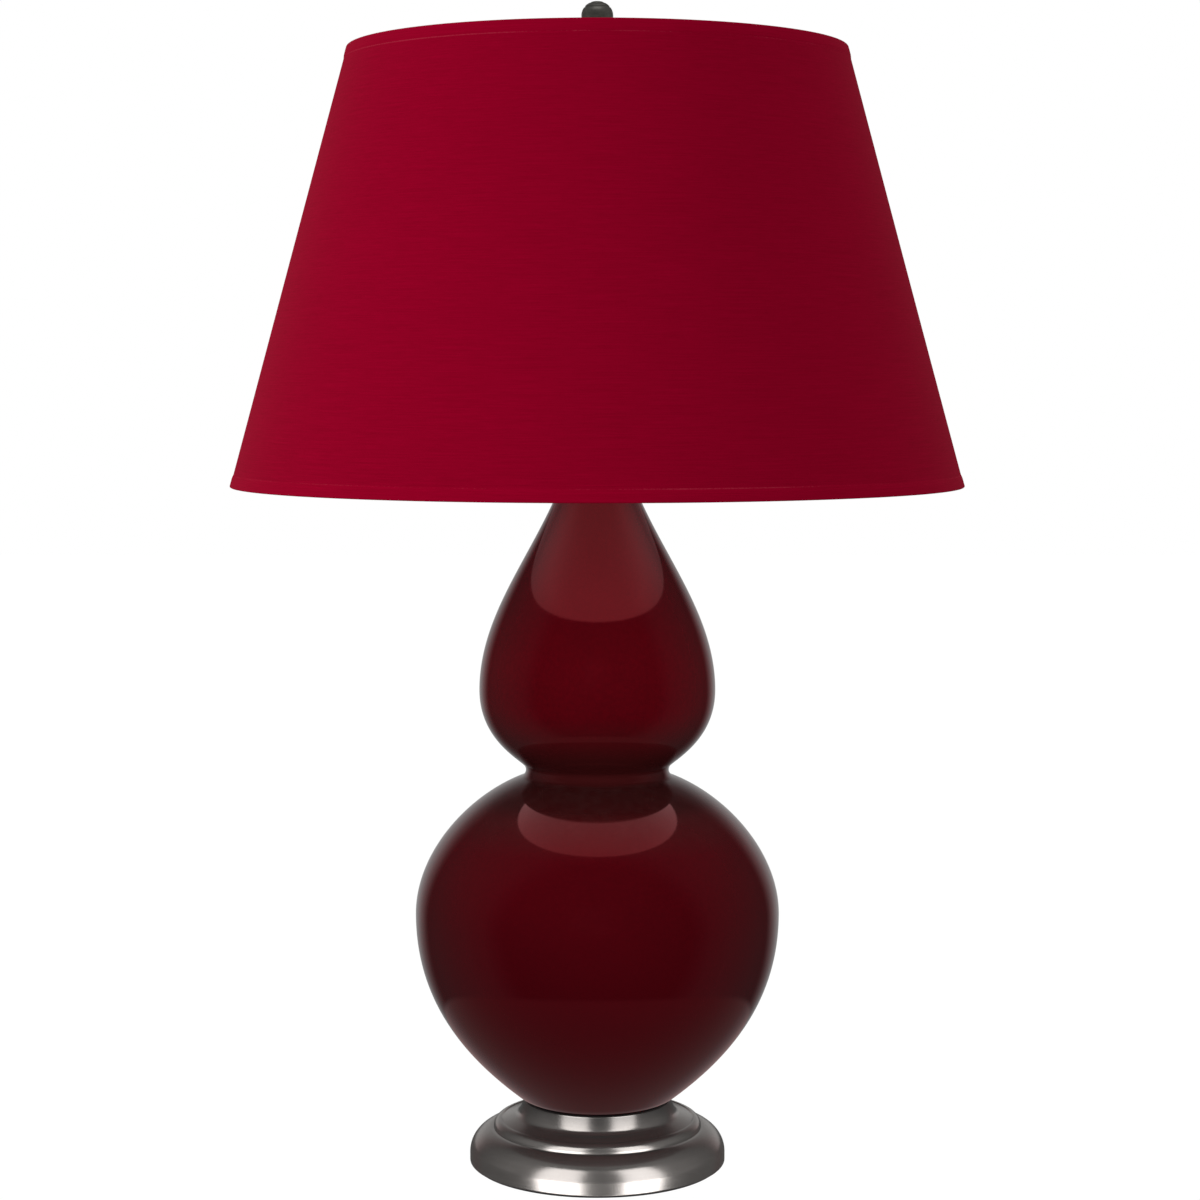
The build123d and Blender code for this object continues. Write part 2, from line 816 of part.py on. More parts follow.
# ---------------------------------------------------------------- output
def build_parts():
    """Every sub-part by its node name."""
    return {
        "base_felt": base_felt(),
        "base_plinth": base_plinth(),
        "cord_bushing": cord_bushing(),
        "base_weight": base_weight(),
        "base_washer": base_washer(),
        "base_nut": hex_nut(base_nut_bottom),
        "lamp_pipe": lamp_pipe(),
        "foot_gasket": foot_gasket(),
        "gourd_body": gourd_body(),
        "neck_gasket": neck_gasket(),
        "vase_cap": vase_cap(),
        "neck_nut": hex_nut(cap_top),
        "neck_sleeve": neck_sleeve(),
        "harp_saddle": harp_saddle(),
        "saddle_nut": hex_nut(saddle_top),
        "harp": harp(),
        "harp_sleeve_left": harp_sleeve(-1),
        "harp_sleeve_right": harp_sleeve(1),
        "harp_stud": harp_stud(),
        "socket_cap": socket_cap(),
        "socket_shell": socket_shell(),
        "insulating_sleeve": insulating_sleeve(),
        "socket_core": socket_core(),
        "terminal_screws": terminal_screws(),
        "screw_shell": screw_shell(),
        "centre_contact": centre_contact(),
        "switch_key": switch_key(),
        "bulb_tip": bulb_tip(),
        "bulb_insulator": bulb_insulator(),
        "bulb_screw_base": bulb_screw_base(),
        "bulb_globe": bulb_globe(),
        "shade_spider": shade_spider(),
        "shade_bottom_ring": shade_bottom_ring(),
        "shade_liner": shade_liner(),
        "shade_skin": shade_skin(),
        "shade_top_hem": shade_hem(shade_top, -1),
        "shade_bottom_hem": shade_hem(shade_bottom, 1),
        "shade_back_seam": shade_back_seam(),
        "finial": finial(),
    }


os.makedirs("parts", exist_ok=True)
for node, shape in build_parts().items():
    export_step(shape, f"parts/{node}.step")
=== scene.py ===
"""Looks of the double gourd table lamp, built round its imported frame.

Metres, +Z up, origin in the middle of the lamp's underside. The front of the lamp is -Y, the harp
lies in the XZ plane and the cord inlet is at the back. Turned pieces are profiles of
(radius, height) carried round the axis, and wires are circles carried along a path.
"""
from __future__ import annotations

import json
import logging
import math
from collections.abc import Callable
from dataclasses import dataclass, field
from enum import Enum

import bpy
import numpy as np
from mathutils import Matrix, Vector

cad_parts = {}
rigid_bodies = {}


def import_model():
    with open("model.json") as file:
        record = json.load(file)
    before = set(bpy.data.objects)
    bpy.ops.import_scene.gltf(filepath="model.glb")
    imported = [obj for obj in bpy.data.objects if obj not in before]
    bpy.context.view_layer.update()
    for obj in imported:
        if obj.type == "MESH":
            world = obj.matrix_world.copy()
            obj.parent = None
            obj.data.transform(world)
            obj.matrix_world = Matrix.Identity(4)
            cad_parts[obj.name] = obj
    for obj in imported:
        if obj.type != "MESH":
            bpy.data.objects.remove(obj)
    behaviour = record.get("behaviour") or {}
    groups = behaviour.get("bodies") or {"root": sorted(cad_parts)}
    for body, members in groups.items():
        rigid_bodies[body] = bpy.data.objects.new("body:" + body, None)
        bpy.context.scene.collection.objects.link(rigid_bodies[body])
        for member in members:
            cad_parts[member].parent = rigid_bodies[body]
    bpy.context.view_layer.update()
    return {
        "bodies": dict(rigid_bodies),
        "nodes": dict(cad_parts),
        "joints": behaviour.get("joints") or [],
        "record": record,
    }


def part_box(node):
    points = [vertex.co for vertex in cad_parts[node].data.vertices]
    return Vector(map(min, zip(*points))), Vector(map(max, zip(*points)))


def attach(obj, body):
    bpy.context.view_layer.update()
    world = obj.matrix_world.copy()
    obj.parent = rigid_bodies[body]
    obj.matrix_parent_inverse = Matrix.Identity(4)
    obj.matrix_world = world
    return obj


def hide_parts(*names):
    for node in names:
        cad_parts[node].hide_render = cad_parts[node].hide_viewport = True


logging.basicConfig(level=logging.INFO, format="%(message)s")
log = logging.getLogger("lamp")

Pair = tuple[float, float]
Triple = tuple[float, float, float]
Ramp = tuple[float, float, float, float]      # from low, from high, to low, to high
Signal = bpy.types.NodeSocket                 # what one shader node hands to the next
Wobble = Callable[[np.ndarray, np.ndarray, np.ndarray], np.ndarray]   # new radii for (angle, radius, height)

MM = 0.001
TAU = 2 * math.pi
TINY = 1e-7                   # shorter lengths count as nothing
CORNER_SHARE = 0.45           # most of a side that a rounded corner takes up
SEGMENTS = 192                # around the large turned pieces
CLOTH_SEGMENTS = 256          # around the cloth and its hems
SMALL_SEGMENTS = 96           # around the small pieces
TINY_SEGMENTS = 48            # around sleeves, studs and tips
SHARP = 40.0                  # angle in degrees past which an edge stays sharp


# ------------------------------------------------------------------ profiles and paths
def rounded(points: list[Pair], radius: float, steps: int = 5) -> np.ndarray:
    """Rounds the corners of an open profile with quadratic curves.

    Args:
        points: Corners of the profile as (radius, height).
        radius: How far along each side a corner starts to round, CORNER_SHARE of that side at most.
        steps: Points on each rounded corner.

    Returns:
        The profile's points as an (n, 2) array, its two ends unchanged.
    """
    corners = np.asarray(points, float)
    middle = corners[1:-1]
    before, after = corners[:-2] - middle, corners[2:] - middle
    length_before = np.linalg.norm(before, axis=1)
    length_after = np.linalg.norm(after, axis=1)
    cut = np.minimum(radius, CORNER_SHARE * np.minimum(length_before, length_after))
    start = middle + before * (cut / length_before)[:, None]
    end = middle + after * (cut / length_after)[:, None]
    t = np.linspace(0, 1, steps)[None, :, None]
    curve = (1 - t) ** 2 * start[:, None] + 2 * t * (1 - t) * middle[:, None] + t**2 * end[:, None]
    return np.vstack([corners[:1], curve.reshape(-1, 2), corners[-1:]])


def block(inner: float, outer: float, bottom: float, top: float) -> list[Pair]:
    """Corners of a rectangle, from its low inner corner round to its high inner corner."""
    return [(inner, bottom), (outer, bottom), (outer, top), (inner, top)]


def washer(bore: float, edge: float, middle: float, half: float, radius: float) -> np.ndarray:
    """Profile of a drilled disc with rounded corners.

    Args:
        bore: Radius of its hole.
        edge: Radius of its edge.
        middle: Height of its middle.
        half: Half its thickness.
        radius: Rounding of its corners.

    Returns:
        The profile, to be closed.
    """
    return rounded(block(bore, edge, middle - half, middle + half) + [(bore, middle)], radius)


def bezier(points: list[Pair], count: int = 48) -> np.ndarray:
    """Cubic curve through its first and last point, worked out from the Bernstein polynomials.

    Args:
        points: Four control points.
        count: Points on the curve.

    Returns:
        An (count, 2) array.
    """
    p = np.asarray(points, float)
    t = np.linspace(0, 1, count)[:, None]
    return (1 - t) ** 3 * p[0] + 3 * (1 - t) ** 2 * t * p[1] + 3 * (1 - t) * t**2 * p[2] + t**3 * p[3]


def arc(centre: Pair, radius: float, start: float, sweep: float, count: int = 24) -> np.ndarray:
    """Arc as centre + radius * (cos, sin) of an angle in degrees.

    Args:
        centre: Centre of the arc.
        radius: Radius of the arc.
        start: First angle.
        sweep: Angle covered, negative for clockwise.
        count: Points on the arc.

    Returns:
        An (count, 2) array.
    """
    angle = np.radians(np.linspace(start, start + sweep, count))
    return np.asarray(centre) + radius * np.stack([np.cos(angle), np.sin(angle)], axis=1)


def joined(*pieces: np.ndarray | Pair) -> np.ndarray:
    """Profiles in one array, with points that repeat the one before left out.

    Args:
        pieces: Profiles or single points in order.

    Returns:
        The joined profile.
    """
    points = np.vstack([np.atleast_2d(piece) for piece in pieces])
    step = np.linalg.norm(np.diff(points, axis=0), axis=1)
    return points[np.concatenate([[True], step > TINY])]


def filleted_path(points: np.ndarray, radii: list[float], count: int = 14) -> np.ndarray:
    """Route of straight runs joined by tangent arcs, in one plane.

    Args:
        points: Corners as (x, z).
        radii: Radius of the arc at each inner corner.
        count: Points on each arc.

    Returns:
        Points of the route as an (n, 2) array.
    """
    route = [points[0]]
    for corner, radius, before, after in zip(points[1:-1], radii, points[:-2], points[2:]):
        back = (before - corner) / np.linalg.norm(before - corner)
        ahead = (after - corner) / np.linalg.norm(after - corner)
        half = math.acos(float(np.clip(back @ ahead, -1, 1))) / 2
        middle = back + ahead
        centre = corner + middle / np.linalg.norm(middle) * radius / math.sin(half)
        first = corner + back * radius / math.tan(half) - centre
        last = corner + ahead * radius / math.tan(half) - centre
        turn = math.atan2(first[0] * last[1] - first[1] * last[0], first @ last)
        angle = np.linspace(0, turn, count)[:, None]
        across = np.array([-first[1], first[0]])
        route.append(centre + first * np.cos(angle) + across * np.sin(angle))
    route.append(points[-1])
    return joined(*route)


def upright(route: np.ndarray) -> np.ndarray:
    """Route of (x, z) as points of the XZ plane."""
    return np.stack([route[:, 0], np.zeros(len(route)), route[:, 1]], axis=1)


def travelled(path: np.ndarray) -> np.ndarray:
    """Length along a path from its start to each of its points."""
    return np.concatenate([[0], np.cumsum(np.linalg.norm(np.diff(path, axis=0), axis=1))])


# ------------------------------------------------------------------ surfaces
@dataclass
class Surface:
    """Grid surface with its faces and a UV map in metres.

    Attributes:
        points: Vertices as an (n, 3) array.
        faces: Vertex numbers of each face.
        uvs: One (u, v) for each face corner.
    """

    points: np.ndarray
    faces: list[list[int]]
    uvs: np.ndarray


def grid_faces(rows: int, columns: int, wrap_rows: bool, wrap_columns: bool) -> np.ndarray:
    """Four-sided faces of a grid numbered row by row.

    Args:
        rows: Rows of vertices.
        columns: Vertices in a row.
        wrap_rows: Whether the last row joins the first.
        wrap_columns: Whether the last column joins the first.

    Returns:
        An (n, 4) array of vertex numbers.
    """
    r = np.arange(rows if wrap_rows else rows - 1)
    c = np.arange(columns if wrap_columns else columns - 1)
    r, c = np.meshgrid(r, c, indexing="ij")
    up, along = (r + 1) % rows, (c + 1) % columns
    quads = [r * columns + c, r * columns + along, up * columns + along, up * columns + c]
    return np.stack(quads, axis=-1).reshape(-1, 4)


def fan(pole: int, start: int, segments: int, upward: bool) -> list[list[int]]:
    """Three-sided faces from a pole to a ring of vertices.

    Args:
        pole: Number of the pole's vertex.
        start: Number of the ring's first vertex.
        segments: Vertices in the ring.
        upward: Whether the faces look up.

    Returns:
        The faces.
    """
    ring = np.arange(segments)
    here, following = start + ring, start + (ring + 1) % segments
    corners = (here, following) if upward else (following, here)
    return np.stack([np.full(segments, pole), *corners], axis=1).tolist()


def carried_round(radius: np.ndarray, angle: np.ndarray, height: np.ndarray) -> np.ndarray:
    """Grid of (r cos a, r sin a, z) as a list of points."""
    return np.stack([radius * np.cos(angle), radius * np.sin(angle), height], axis=-1).reshape(-1, 3)


def turned(
    profile: np.ndarray, segments: int = SEGMENTS, closed: bool = False, wobble: Wobble | None = None
) -> Surface:
    """Surface of revolution: point = (r cos a, r sin a, z) for each profile point and angle a.

    Args:
        profile: (radius, height) points. An end on the axis becomes a pole.
        segments: Steps round the axis.
        closed: Whether the last profile point joins the first, as on a ring.
        wobble: Function of (angle grid, radius grid, height grid) that returns changed radii.

    Returns:
        The surface, its UV map holding the way round at full radius and the way along the profile.
    """
    radius, height = np.asarray(profile, float).T
    low_pole, high_pole = (not closed and radius[0] < TINY), (not closed and radius[-1] < TINY)
    first, last = int(low_pole), len(radius) - int(high_pole)
    rows = last - first
    angle = np.linspace(0, TAU, segments, endpoint=False) + math.pi / 2
    r_grid = np.repeat(radius[first:last, None], segments, axis=1)
    z_grid = np.repeat(height[first:last, None], segments, axis=1)
    a_grid = np.repeat(angle[None, :], rows, axis=0)
    if wobble is not None:
        r_grid = wobble(a_grid, r_grid, z_grid)
    points = carried_round(r_grid, a_grid, z_grid)
    quads = grid_faces(rows, segments, closed, True)
    length = travelled(profile)
    closing = length[-1] + float(np.linalg.norm(np.asarray(profile[0]) - np.asarray(profile[-1])))
    step = TAU * float(radius.max()) / segments
    row, column = quads // segments, quads % segments
    last_column = column.max(axis=1, keepdims=True) == segments - 1
    last_row = row.max(axis=1, keepdims=True) == rows - 1
    column = np.where(last_column & (column == 0), segments, column)
    v = length[first:last][row]
    if closed:
        v = np.where(last_row & (row == 0), closing, v)
    faces = quads.tolist()
    uvs = np.stack([column * step, v], axis=-1).reshape(-1, 2)
    poles = []
    if low_pole:
        poles.append((height[0], 0, False, (0, step, 0), (0, length[1], length[1])))
    if high_pole:
        poles.append((height[-1], (rows - 1) * segments, True, (0, 0, step), length[[-1, -2, -2]]))
    for level, start, upward, across, along in poles:
        points = np.vstack([points, [[0, 0, level]]])
        faces += fan(len(points) - 1, start, segments, upward)
        u = np.arange(segments)[:, None] * step + np.asarray(across)
        corners = np.stack([u, np.broadcast_to(along, u.shape)], axis=-1)
        uvs = np.vstack([uvs, corners.reshape(-1, 2)])
    return Surface(points, faces, uvs)


def tube(
    path: np.ndarray, across: np.ndarray, radius: float, sides: int = 16, closed: bool = False
) -> Surface:
    """Round wire: circle of a radius carried along a flat path, with caps at open ends.

    Args:
        path: Points of the centre line as an (n, 3) array.
        across: Unit vector square to the plane that the path lies in.
        radius: Radius of the wire.
        sides: Steps round the wire.
        closed: Whether the path is a ring.

    Returns:
        The surface.
    """
    count = len(path)
    ahead = (np.roll(path, -1, 0) - np.roll(path, 1, 0)) if closed else np.gradient(path, axis=0)
    ahead /= np.linalg.norm(ahead, axis=1)[:, None]
    side = np.cross(np.broadcast_to(across, ahead.shape), ahead)
    angle = np.linspace(0, TAU, sides, endpoint=False)[None, :, None]
    offset = np.cos(angle) * side[:, None] + np.sin(angle) * across[None, None]
    points = (path[:, None] + radius * offset).reshape(-1, 3)
    quads = grid_faces(count, sides, closed, True)[:, ::-1]
    faces = quads.tolist()
    row, column = quads // sides, quads % sides
    uvs = np.stack([column * TAU * radius / sides, travelled(path)[row]], axis=-1).reshape(-1, 2)
    if not closed:
        faces += [list(range(sides)), list(range(count * sides - 1, (count - 1) * sides - 1, -1))]
        uvs = np.vstack([uvs, np.zeros((2 * sides, 2))])
    return Surface(points, faces, uvs)


def helical(
    radius: float, depth: float, pitch: float, bottom: float, top: float, segments: int, rows_a_turn: int = 10
) -> Surface:
    """Screw thread: radius - depth * fold(height / pitch - angle / turn), fading at both ends.

    Args:
        radius: Crest radius.
        depth: Depth of the thread.
        pitch: Rise in one turn.
        bottom: Height of the lower end.
        top: Height of the upper end.
        segments: Steps round the axis.
        rows_a_turn: Rows of vertices in one pitch.

    Returns:
        The surface, closed by discs at its ends.
    """
    rows = max(8, int((top - bottom) / pitch * rows_a_turn))
    height = np.linspace(bottom, top, rows)
    angle = np.linspace(0, TAU, segments, endpoint=False)
    a_grid, z_grid = np.meshgrid(angle, height)
    fold = 0.5 - 0.5 * np.cos(TAU * ((z_grid - bottom) / pitch - a_grid / TAU))
    fade = np.clip(np.minimum(z_grid - bottom, top - z_grid) / (0.5 * pitch), 0, 1)
    r_grid = radius - depth * (1 - (1 - fold) * fade)
    points = np.vstack([carried_round(r_grid, a_grid, z_grid), [[0, 0, bottom], [0, 0, top]]])
    low_pole = rows * segments
    faces = grid_faces(rows, segments, False, True).tolist()
    faces += fan(low_pole, 0, segments, False) + fan(low_pole + 1, low_pole - segments, segments, True)
    return Surface(points, faces, np.zeros((sum(len(face) for face in faces), 2)))


def moved(surface: Surface, offset: Triple, turn: np.ndarray | None = None) -> Surface:
    """The surface turned by a rotation matrix and then shifted.

    Args:
        surface: The surface to place.
        offset: Shift in metres.
        turn: Rotation matrix, or None.

    Returns:
        A new surface.
    """
    points = surface.points if turn is None else surface.points @ turn.T
    return Surface(points + np.asarray(offset), surface.faces, surface.uvs)


def together(*surfaces: Surface) -> Surface:
    """Several surfaces as one, with their vertex numbers shifted.

    Args:
        surfaces: The surfaces, in order.

    Returns:
        The joined surface.
    """
    points, faces, uvs, start = [], [], [], 0
    for surface in surfaces:
        points.append(surface.points)
        uvs.append(surface.uvs)
        faces += [[corner + start for corner in face] for face in surface.faces]
        start += len(surface.points)
    return Surface(np.vstack(points), faces, np.vstack(uvs))


TO_FRONT = np.array([[1, 0, 0], [0, 0, -1], [0, 1, 0]], float)   # turns +Z to -Y
TO_BACK = np.array([[1, 0, 0], [0, 0, 1], [0, -1, 0]], float)    # turns +Z to +Y
ALONG_Y = np.array([0, 1.0, 0])
ALONG_Z = np.array([0, 0, 1.0])


def about_z(degrees: float) -> np.ndarray:
    """Rotation matrix about the lamp's axis."""
    turn = math.radians(degrees)
    return np.array([[math.cos(turn), -math.sin(turn), 0], [math.sin(turn), math.cos(turn), 0], [0, 0, 1]])


# ------------------------------------------------------------------ shader wiring
class Wiring:
    """Short way to add and join the nodes of one material, world, light or node group."""

    def __init__(self, tree: bpy.types.NodeTree) -> None:
        """Keeps the tree that the nodes go into."""
        self.tree = tree

    def give(self, socket: Signal, value: Signal | float | tuple) -> None:
        """Joins a signal to a socket or sets the socket's value, a colour as opaque.

        Args:
            socket: The socket.
            value: A signal, a number, a vector or a colour.
        """
        if isinstance(value, bpy.types.NodeSocket):
            self.tree.links.new(value, socket)
        elif socket.type == "RGBA":
            socket.default_value = (*value, 1.0)
        else:
            socket.default_value = value

    def node(self, kind: str, settings: dict | None = None, **inputs) -> bpy.types.Node:
        """Adds a node.

        Args:
            kind: Blender's name of the node type, without ShaderNode at its start.
            settings: Properties of the node.
            inputs: Values or signals by the socket's name with underscores for spaces, or in_N.

        Returns:
            The node.
        """
        made = self.tree.nodes.new(kind if kind.startswith("NodeGroup") else f"ShaderNode{kind}")
        for name, value in (settings or {}).items():
            setattr(made, name, value)
        for name, value in inputs.items():
            key = int(name[3:]) if name.startswith("in_") else name.replace("_", " ")
            self.give(made.inputs[key], value)
        return made

    def math(self, operation: str, *values: Signal | float) -> Signal:
        """Math node's result for one, two or three values or signals."""
        inputs = {f"in_{number}": value for number, value in enumerate(values)}
        return self.node("Math", {"operation": operation}, **inputs).outputs[0]

    def plus(self, first: Signal | float, second: Signal | float) -> Signal:
        """Sum of two values or signals."""
        return self.math("ADD", first, second)

    def times(self, first: Signal | float, second: Signal | float) -> Signal:
        """Product of two values or signals."""
        return self.math("MULTIPLY", first, second)

    def rest(self, share: Signal) -> Signal:
        """What a share leaves of one."""
        return self.math("SUBTRACT", 1.0, share)

    def gap(self, first: Signal | float, second: Signal | float) -> Signal:
        """Distance between two values or signals."""
        return self.math("ABSOLUTE", self.math("SUBTRACT", first, second))

    def mix(self, factor: Signal | float, first: Signal | Triple, second: Signal | Triple) -> Signal:
        """Colour between two colours."""
        return self.node("Mix", {"data_type": "RGBA"}, in_0=factor, in_6=first, in_7=second).outputs[2]

    def remap(self, value: Signal, low: float, high: float, to_low: float, to_high: float) -> Signal:
        """Value carried from one range to another, clamped."""
        names = {"From_Min": low, "From_Max": high, "To_Min": to_low, "To_Max": to_high}
        return self.node("MapRange", {"clamp": True}, in_0=value, **names).outputs[0]

    def noise(self, place: Signal, scale: Signal | float, detail: float) -> Signal:
        """Noise from 0 to 1 at a place."""
        return self.node("TexNoise", Vector=place, Scale=scale, Detail=detail).outputs[0]

    def split(self, vector: Signal) -> tuple[Signal, Signal, Signal]:
        """The three numbers of a vector."""
        return tuple(self.node("SeparateXYZ", Vector=vector).outputs)

    def place(self) -> Signal:
        """Place on the lamp, in its own coordinates."""
        return self.node("TexCoord").outputs["Object"]

    def height(self) -> Signal:
        """Height on the lamp, in metres."""
        return self.split(self.place())[2]

    def group(self, tree: bpy.types.NodeTree, **inputs) -> bpy.types.NodeOutputs:
        """Outputs of a shared node group with its own values."""
        return self.node("Group", {"node_tree": tree}, **inputs).outputs


def wired(owner: bpy.types.ID) -> Wiring:
    """Wiring of an emptied node tree on a material, world or light.

    Args:
        owner: The material, world or light.

    Returns:
        The wiring of its tree.
    """
    owner.use_nodes = True
    owner.node_tree.nodes.clear()
    return Wiring(owner.node_tree)


def shown(name: str, data: bpy.types.ID) -> bpy.types.Object:
    """New object in the scene that holds a mesh, camera or light.

    Args:
        name: Name of the object.
        data: What it holds.

    Returns:
        The object.
    """
    made = bpy.data.objects.new(name, data)
    bpy.context.scene.collection.objects.link(made)
    return made


def new_group(
    name: str, inputs: dict[str, float], outputs: list[str]
) -> tuple[bpy.types.NodeTree, Wiring, bpy.types.NodeOutputs]:
    """Node group of numbers.

    Args:
        name: Name of the group.
        inputs: Default of each input.
        outputs: Name of each output.

    Returns:
        The group's tree, the wiring for it and the sockets that give its inputs.
    """
    tree = bpy.data.node_groups.new(name, "ShaderNodeTree")
    for label, default in inputs.items():
        made = tree.interface.new_socket(label, in_out="INPUT", socket_type="NodeSocketFloat")
        made.default_value = default
    for label in outputs:
        tree.interface.new_socket(label, in_out="OUTPUT", socket_type="NodeSocketFloat")
    w = Wiring(tree)
    return tree, w, w.node("NodeGroupInput").outputs


class SharedGroups:
    """Effects that more than one finish uses, each a node group made once."""

    def __init__(self) -> None:
        """Builds every group."""
        self.grain = self._grain()
        self.turning = self._turning()
        self.weave = self._weave()
        self.dust = self._dust()

    @staticmethod
    def _grain() -> bpy.types.NodeTree:
        """Fine and coarse noise mixed, for small changes of colour and gloss.

        Returns:
            The group, with outputs Value and Height.
        """
        tree, w, given = new_group("fine_grain", {"Coarse": 60.0, "Fine": 900.0}, ["Value", "Height"])
        place = w.place()
        coarse = w.noise(place, given["Coarse"], 3.0)
        fine = w.noise(place, given["Fine"], 2.0)
        w.node("NodeGroupOutput", Value=w.plus(w.times(coarse, 0.6), w.times(fine, 0.4)), Height=fine)
        return tree

    @staticmethod
    def _turning() -> bpy.types.NodeTree:
        """Fine lines left by turning: noise over (radius, height) that hardly changes round the axis.

        Returns:
            The group, with outputs Value and Height, which are the same noise.
        """
        tree, w, given = new_group("turning_marks", {"Fineness": 2500.0, "Breaks": 3.0}, ["Value", "Height"])
        x, y, z = w.split(w.place())
        radius = w.math("SQRT", w.plus(w.times(x, x), w.times(y, y)))
        across = w.times(radius, given["Fineness"])
        along = w.times(z, given["Fineness"])
        around = w.times(w.math("ARCTAN2", y, x), given["Breaks"])
        place = w.node("CombineXYZ", X=across, Y=along, Z=around).outputs[0]
        lines = w.noise(place, 1.0, 3.0)
        w.node("NodeGroupOutput", Value=lines, Height=lines)
        return tree

    @staticmethod
    def _weave() -> bpy.types.NodeTree:
        """Plain weave with slubs, over a UV map in metres.

        Threads are a sine across u times one across v. Slubs are long, thin noise along u, kept
        only where the noise is high.

        Returns:
            The group, with outputs Threads, Slubs and Height.
        """
        inputs = {"Pitch": 0.45 * MM, "Slub Length": 50 * MM}
        tree, w, given = new_group("woven_cloth", inputs, ["Threads", "Slubs", "Height"])
        slubs_a_metre = 1500.0
        u, v, _ = w.split(w.node("TexCoord").outputs["UV"])
        warp, weft = (w.math("SINE", w.times(w.math("DIVIDE", way, given["Pitch"]), TAU)) for way in (u, v))
        threads = w.plus(w.times(w.times(warp, weft), 0.5), 0.5)
        long_u = w.math("DIVIDE", u, given["Slub Length"])
        place = w.node("CombineXYZ", X=long_u, Y=w.times(v, slubs_a_metre), Z=0.0).outputs[0]
        slubs = w.remap(w.noise(place, 1.0, 2.0), 0.35, 0.75, 0.0, 1.0)
        height = w.plus(w.times(threads, 0.5), slubs)
        w.node("NodeGroupOutput", Threads=threads, Slubs=slubs, Height=height)
        return tree

    @staticmethod
    def _dust() -> bpy.types.NodeTree:
        """Thin dust that settles on faces that look up, thicker where noise is high.

        Returns:
            The group.
        """
        tree, w, given = new_group("settled_dust", {"Amount": 0.2}, ["Mask"])
        up = w.split(w.node("NewGeometry").outputs["Normal"])[2]
        spread = w.remap(w.noise(w.place(), 140.0, 4.0), 0.4, 0.7, 0.3, 1.0)
        facing = w.remap(up, 0.6, 1.0, 0.0, 1.0)
        w.node("NodeGroupOutput", Mask=w.times(w.times(facing, spread), given["Amount"]))
        return tree


# ------------------------------------------------------------------ finishes
@dataclass(frozen=True)
class Finish:
    """What every finish shares.

    Attributes:
        name: Name of its material.
        colour: Its paler colour.
        shade: Its darker colour.
        rough: Least and most roughness.
        bump: Strength of its bumps.
        bump_height: Height of its bumps in metres.
    """

    name: str
    colour: Triple
    shade: Triple
    rough: Pair
    bump: float
    bump_height: float

    def start(self, **constants) -> tuple[bpy.types.Material, Wiring, bpy.types.Node]:
        """New material with its principled shader.

        Args:
            constants: Values of the shader's own sockets, by name with underscores for spaces.

        Returns:
            The material, its wiring and the shader node.
        """
        material = bpy.data.materials.new(self.name)
        w = wired(material)
        shader = w.node("BsdfPrincipled", **constants)
        w.node("OutputMaterial", Surface=shader.outputs[0])
        return material, w, shader

    def link(self, w: Wiring, shader: bpy.types.Node, base: Signal, rough: Signal, height: Signal) -> None:
        """Joins colour, roughness and height to the shader.

        Args:
            w: The material's wiring.
            shader: The principled shader.
            base: Colour.
            rough: Roughness.
            height: Height for the bump.
        """
        bump = w.node("Bump", Strength=self.bump, Distance=self.bump_height, Height=height)
        w.give(shader.inputs["Base Color"], base)
        w.give(shader.inputs["Roughness"], rough)
        w.give(shader.inputs["Normal"], bump.outputs[0])


@dataclass(frozen=True)
class GlazeFinish(Finish):
    """Deep glossy glaze over ceramic: redder where it pools, painted shade low down, in the neck and at the
    waist.

    Attributes:
        reflection: Tint of what it mirrors.
        pools: Grain to the share of the paler colour.
        painted_foot_shade: Height to that share from the foot into the upper bulb: painted shade, darker low
            down.
        fade: Height to that share into the neck: painted shadow of the shade, darker near the top.
        waist: Height of the waist.
        thin: Colour of the painted shade in the waist's crease, darker and browner.
        thin_band: Distance from the waist to the share of that colour.
        shadow: Colour of the painted shadow line under the waist.
        shadow_drop: How far under the waist it lies.
        shadow_band: Distance from the line to the share of its colour.
    """

    reflection: Triple = (1.0, 0.20, 0.22)
    pools: Ramp = (0.35, 0.65, 0.45, 1.0)
    # painted shade: less of the paler colour towards the foot
    painted_foot_shade: Ramp = (0.12, 0.34, 0.1, 0.9)
    # painted shadow of the shade: less of the paler colour in the neck
    fade: Ramp = (0.35, 0.385, 1.0, 0.55)
    waist: float = 272.3 * MM
    # painted shade in the waist's crease, darker and browner
    thin: Triple = (0.030, 0.0042, 0.0044)
    thin_band: Ramp = (12 * MM, 45 * MM, 0.9, 0.0)
    # painted shadow line under the waist
    shadow: Triple = (0.008, 0.001, 0.001)
    shadow_drop: float = 12 * MM
    shadow_band: Ramp = (6 * MM, 12 * MM, 0.4, 0.0)
    dust: Triple = (0.30, 0.27, 0.25)
    dust_amount: float = 0.02

    def build(self, groups: SharedGroups) -> bpy.types.Material:
        """The glaze as a material.

        Args:
            groups: Effects that the finishes share.

        Returns:
            The material.
        """
        material, w, shader = self.start(IOR=1.55, Specular_Tint=self.reflection)
        grain = w.group(groups.grain, Coarse=9.0, Fine=420.0)["Value"]
        height = w.height()
        # painted shade low down, and the painted shadow of the shade in the neck
        rise = w.times(w.remap(height, *self.painted_foot_shade), w.remap(height, *self.fade))
        base = w.mix(w.times(w.remap(grain, *self.pools), rise), self.shade, self.colour)
        # painted shade round the waist
        base = w.mix(w.remap(w.gap(height, self.waist), *self.thin_band), base, self.thin)
        # painted shadow line under the waist
        off_shadow = w.gap(height, self.waist - self.shadow_drop)
        base = w.mix(w.remap(off_shadow, *self.shadow_band), base, self.shadow)
        base = w.mix(w.group(groups.dust, Amount=self.dust_amount)["Mask"], base, self.dust)
        self.link(w, shader, base, w.remap(grain, 0.3, 0.7, *self.rough), grain)
        return material


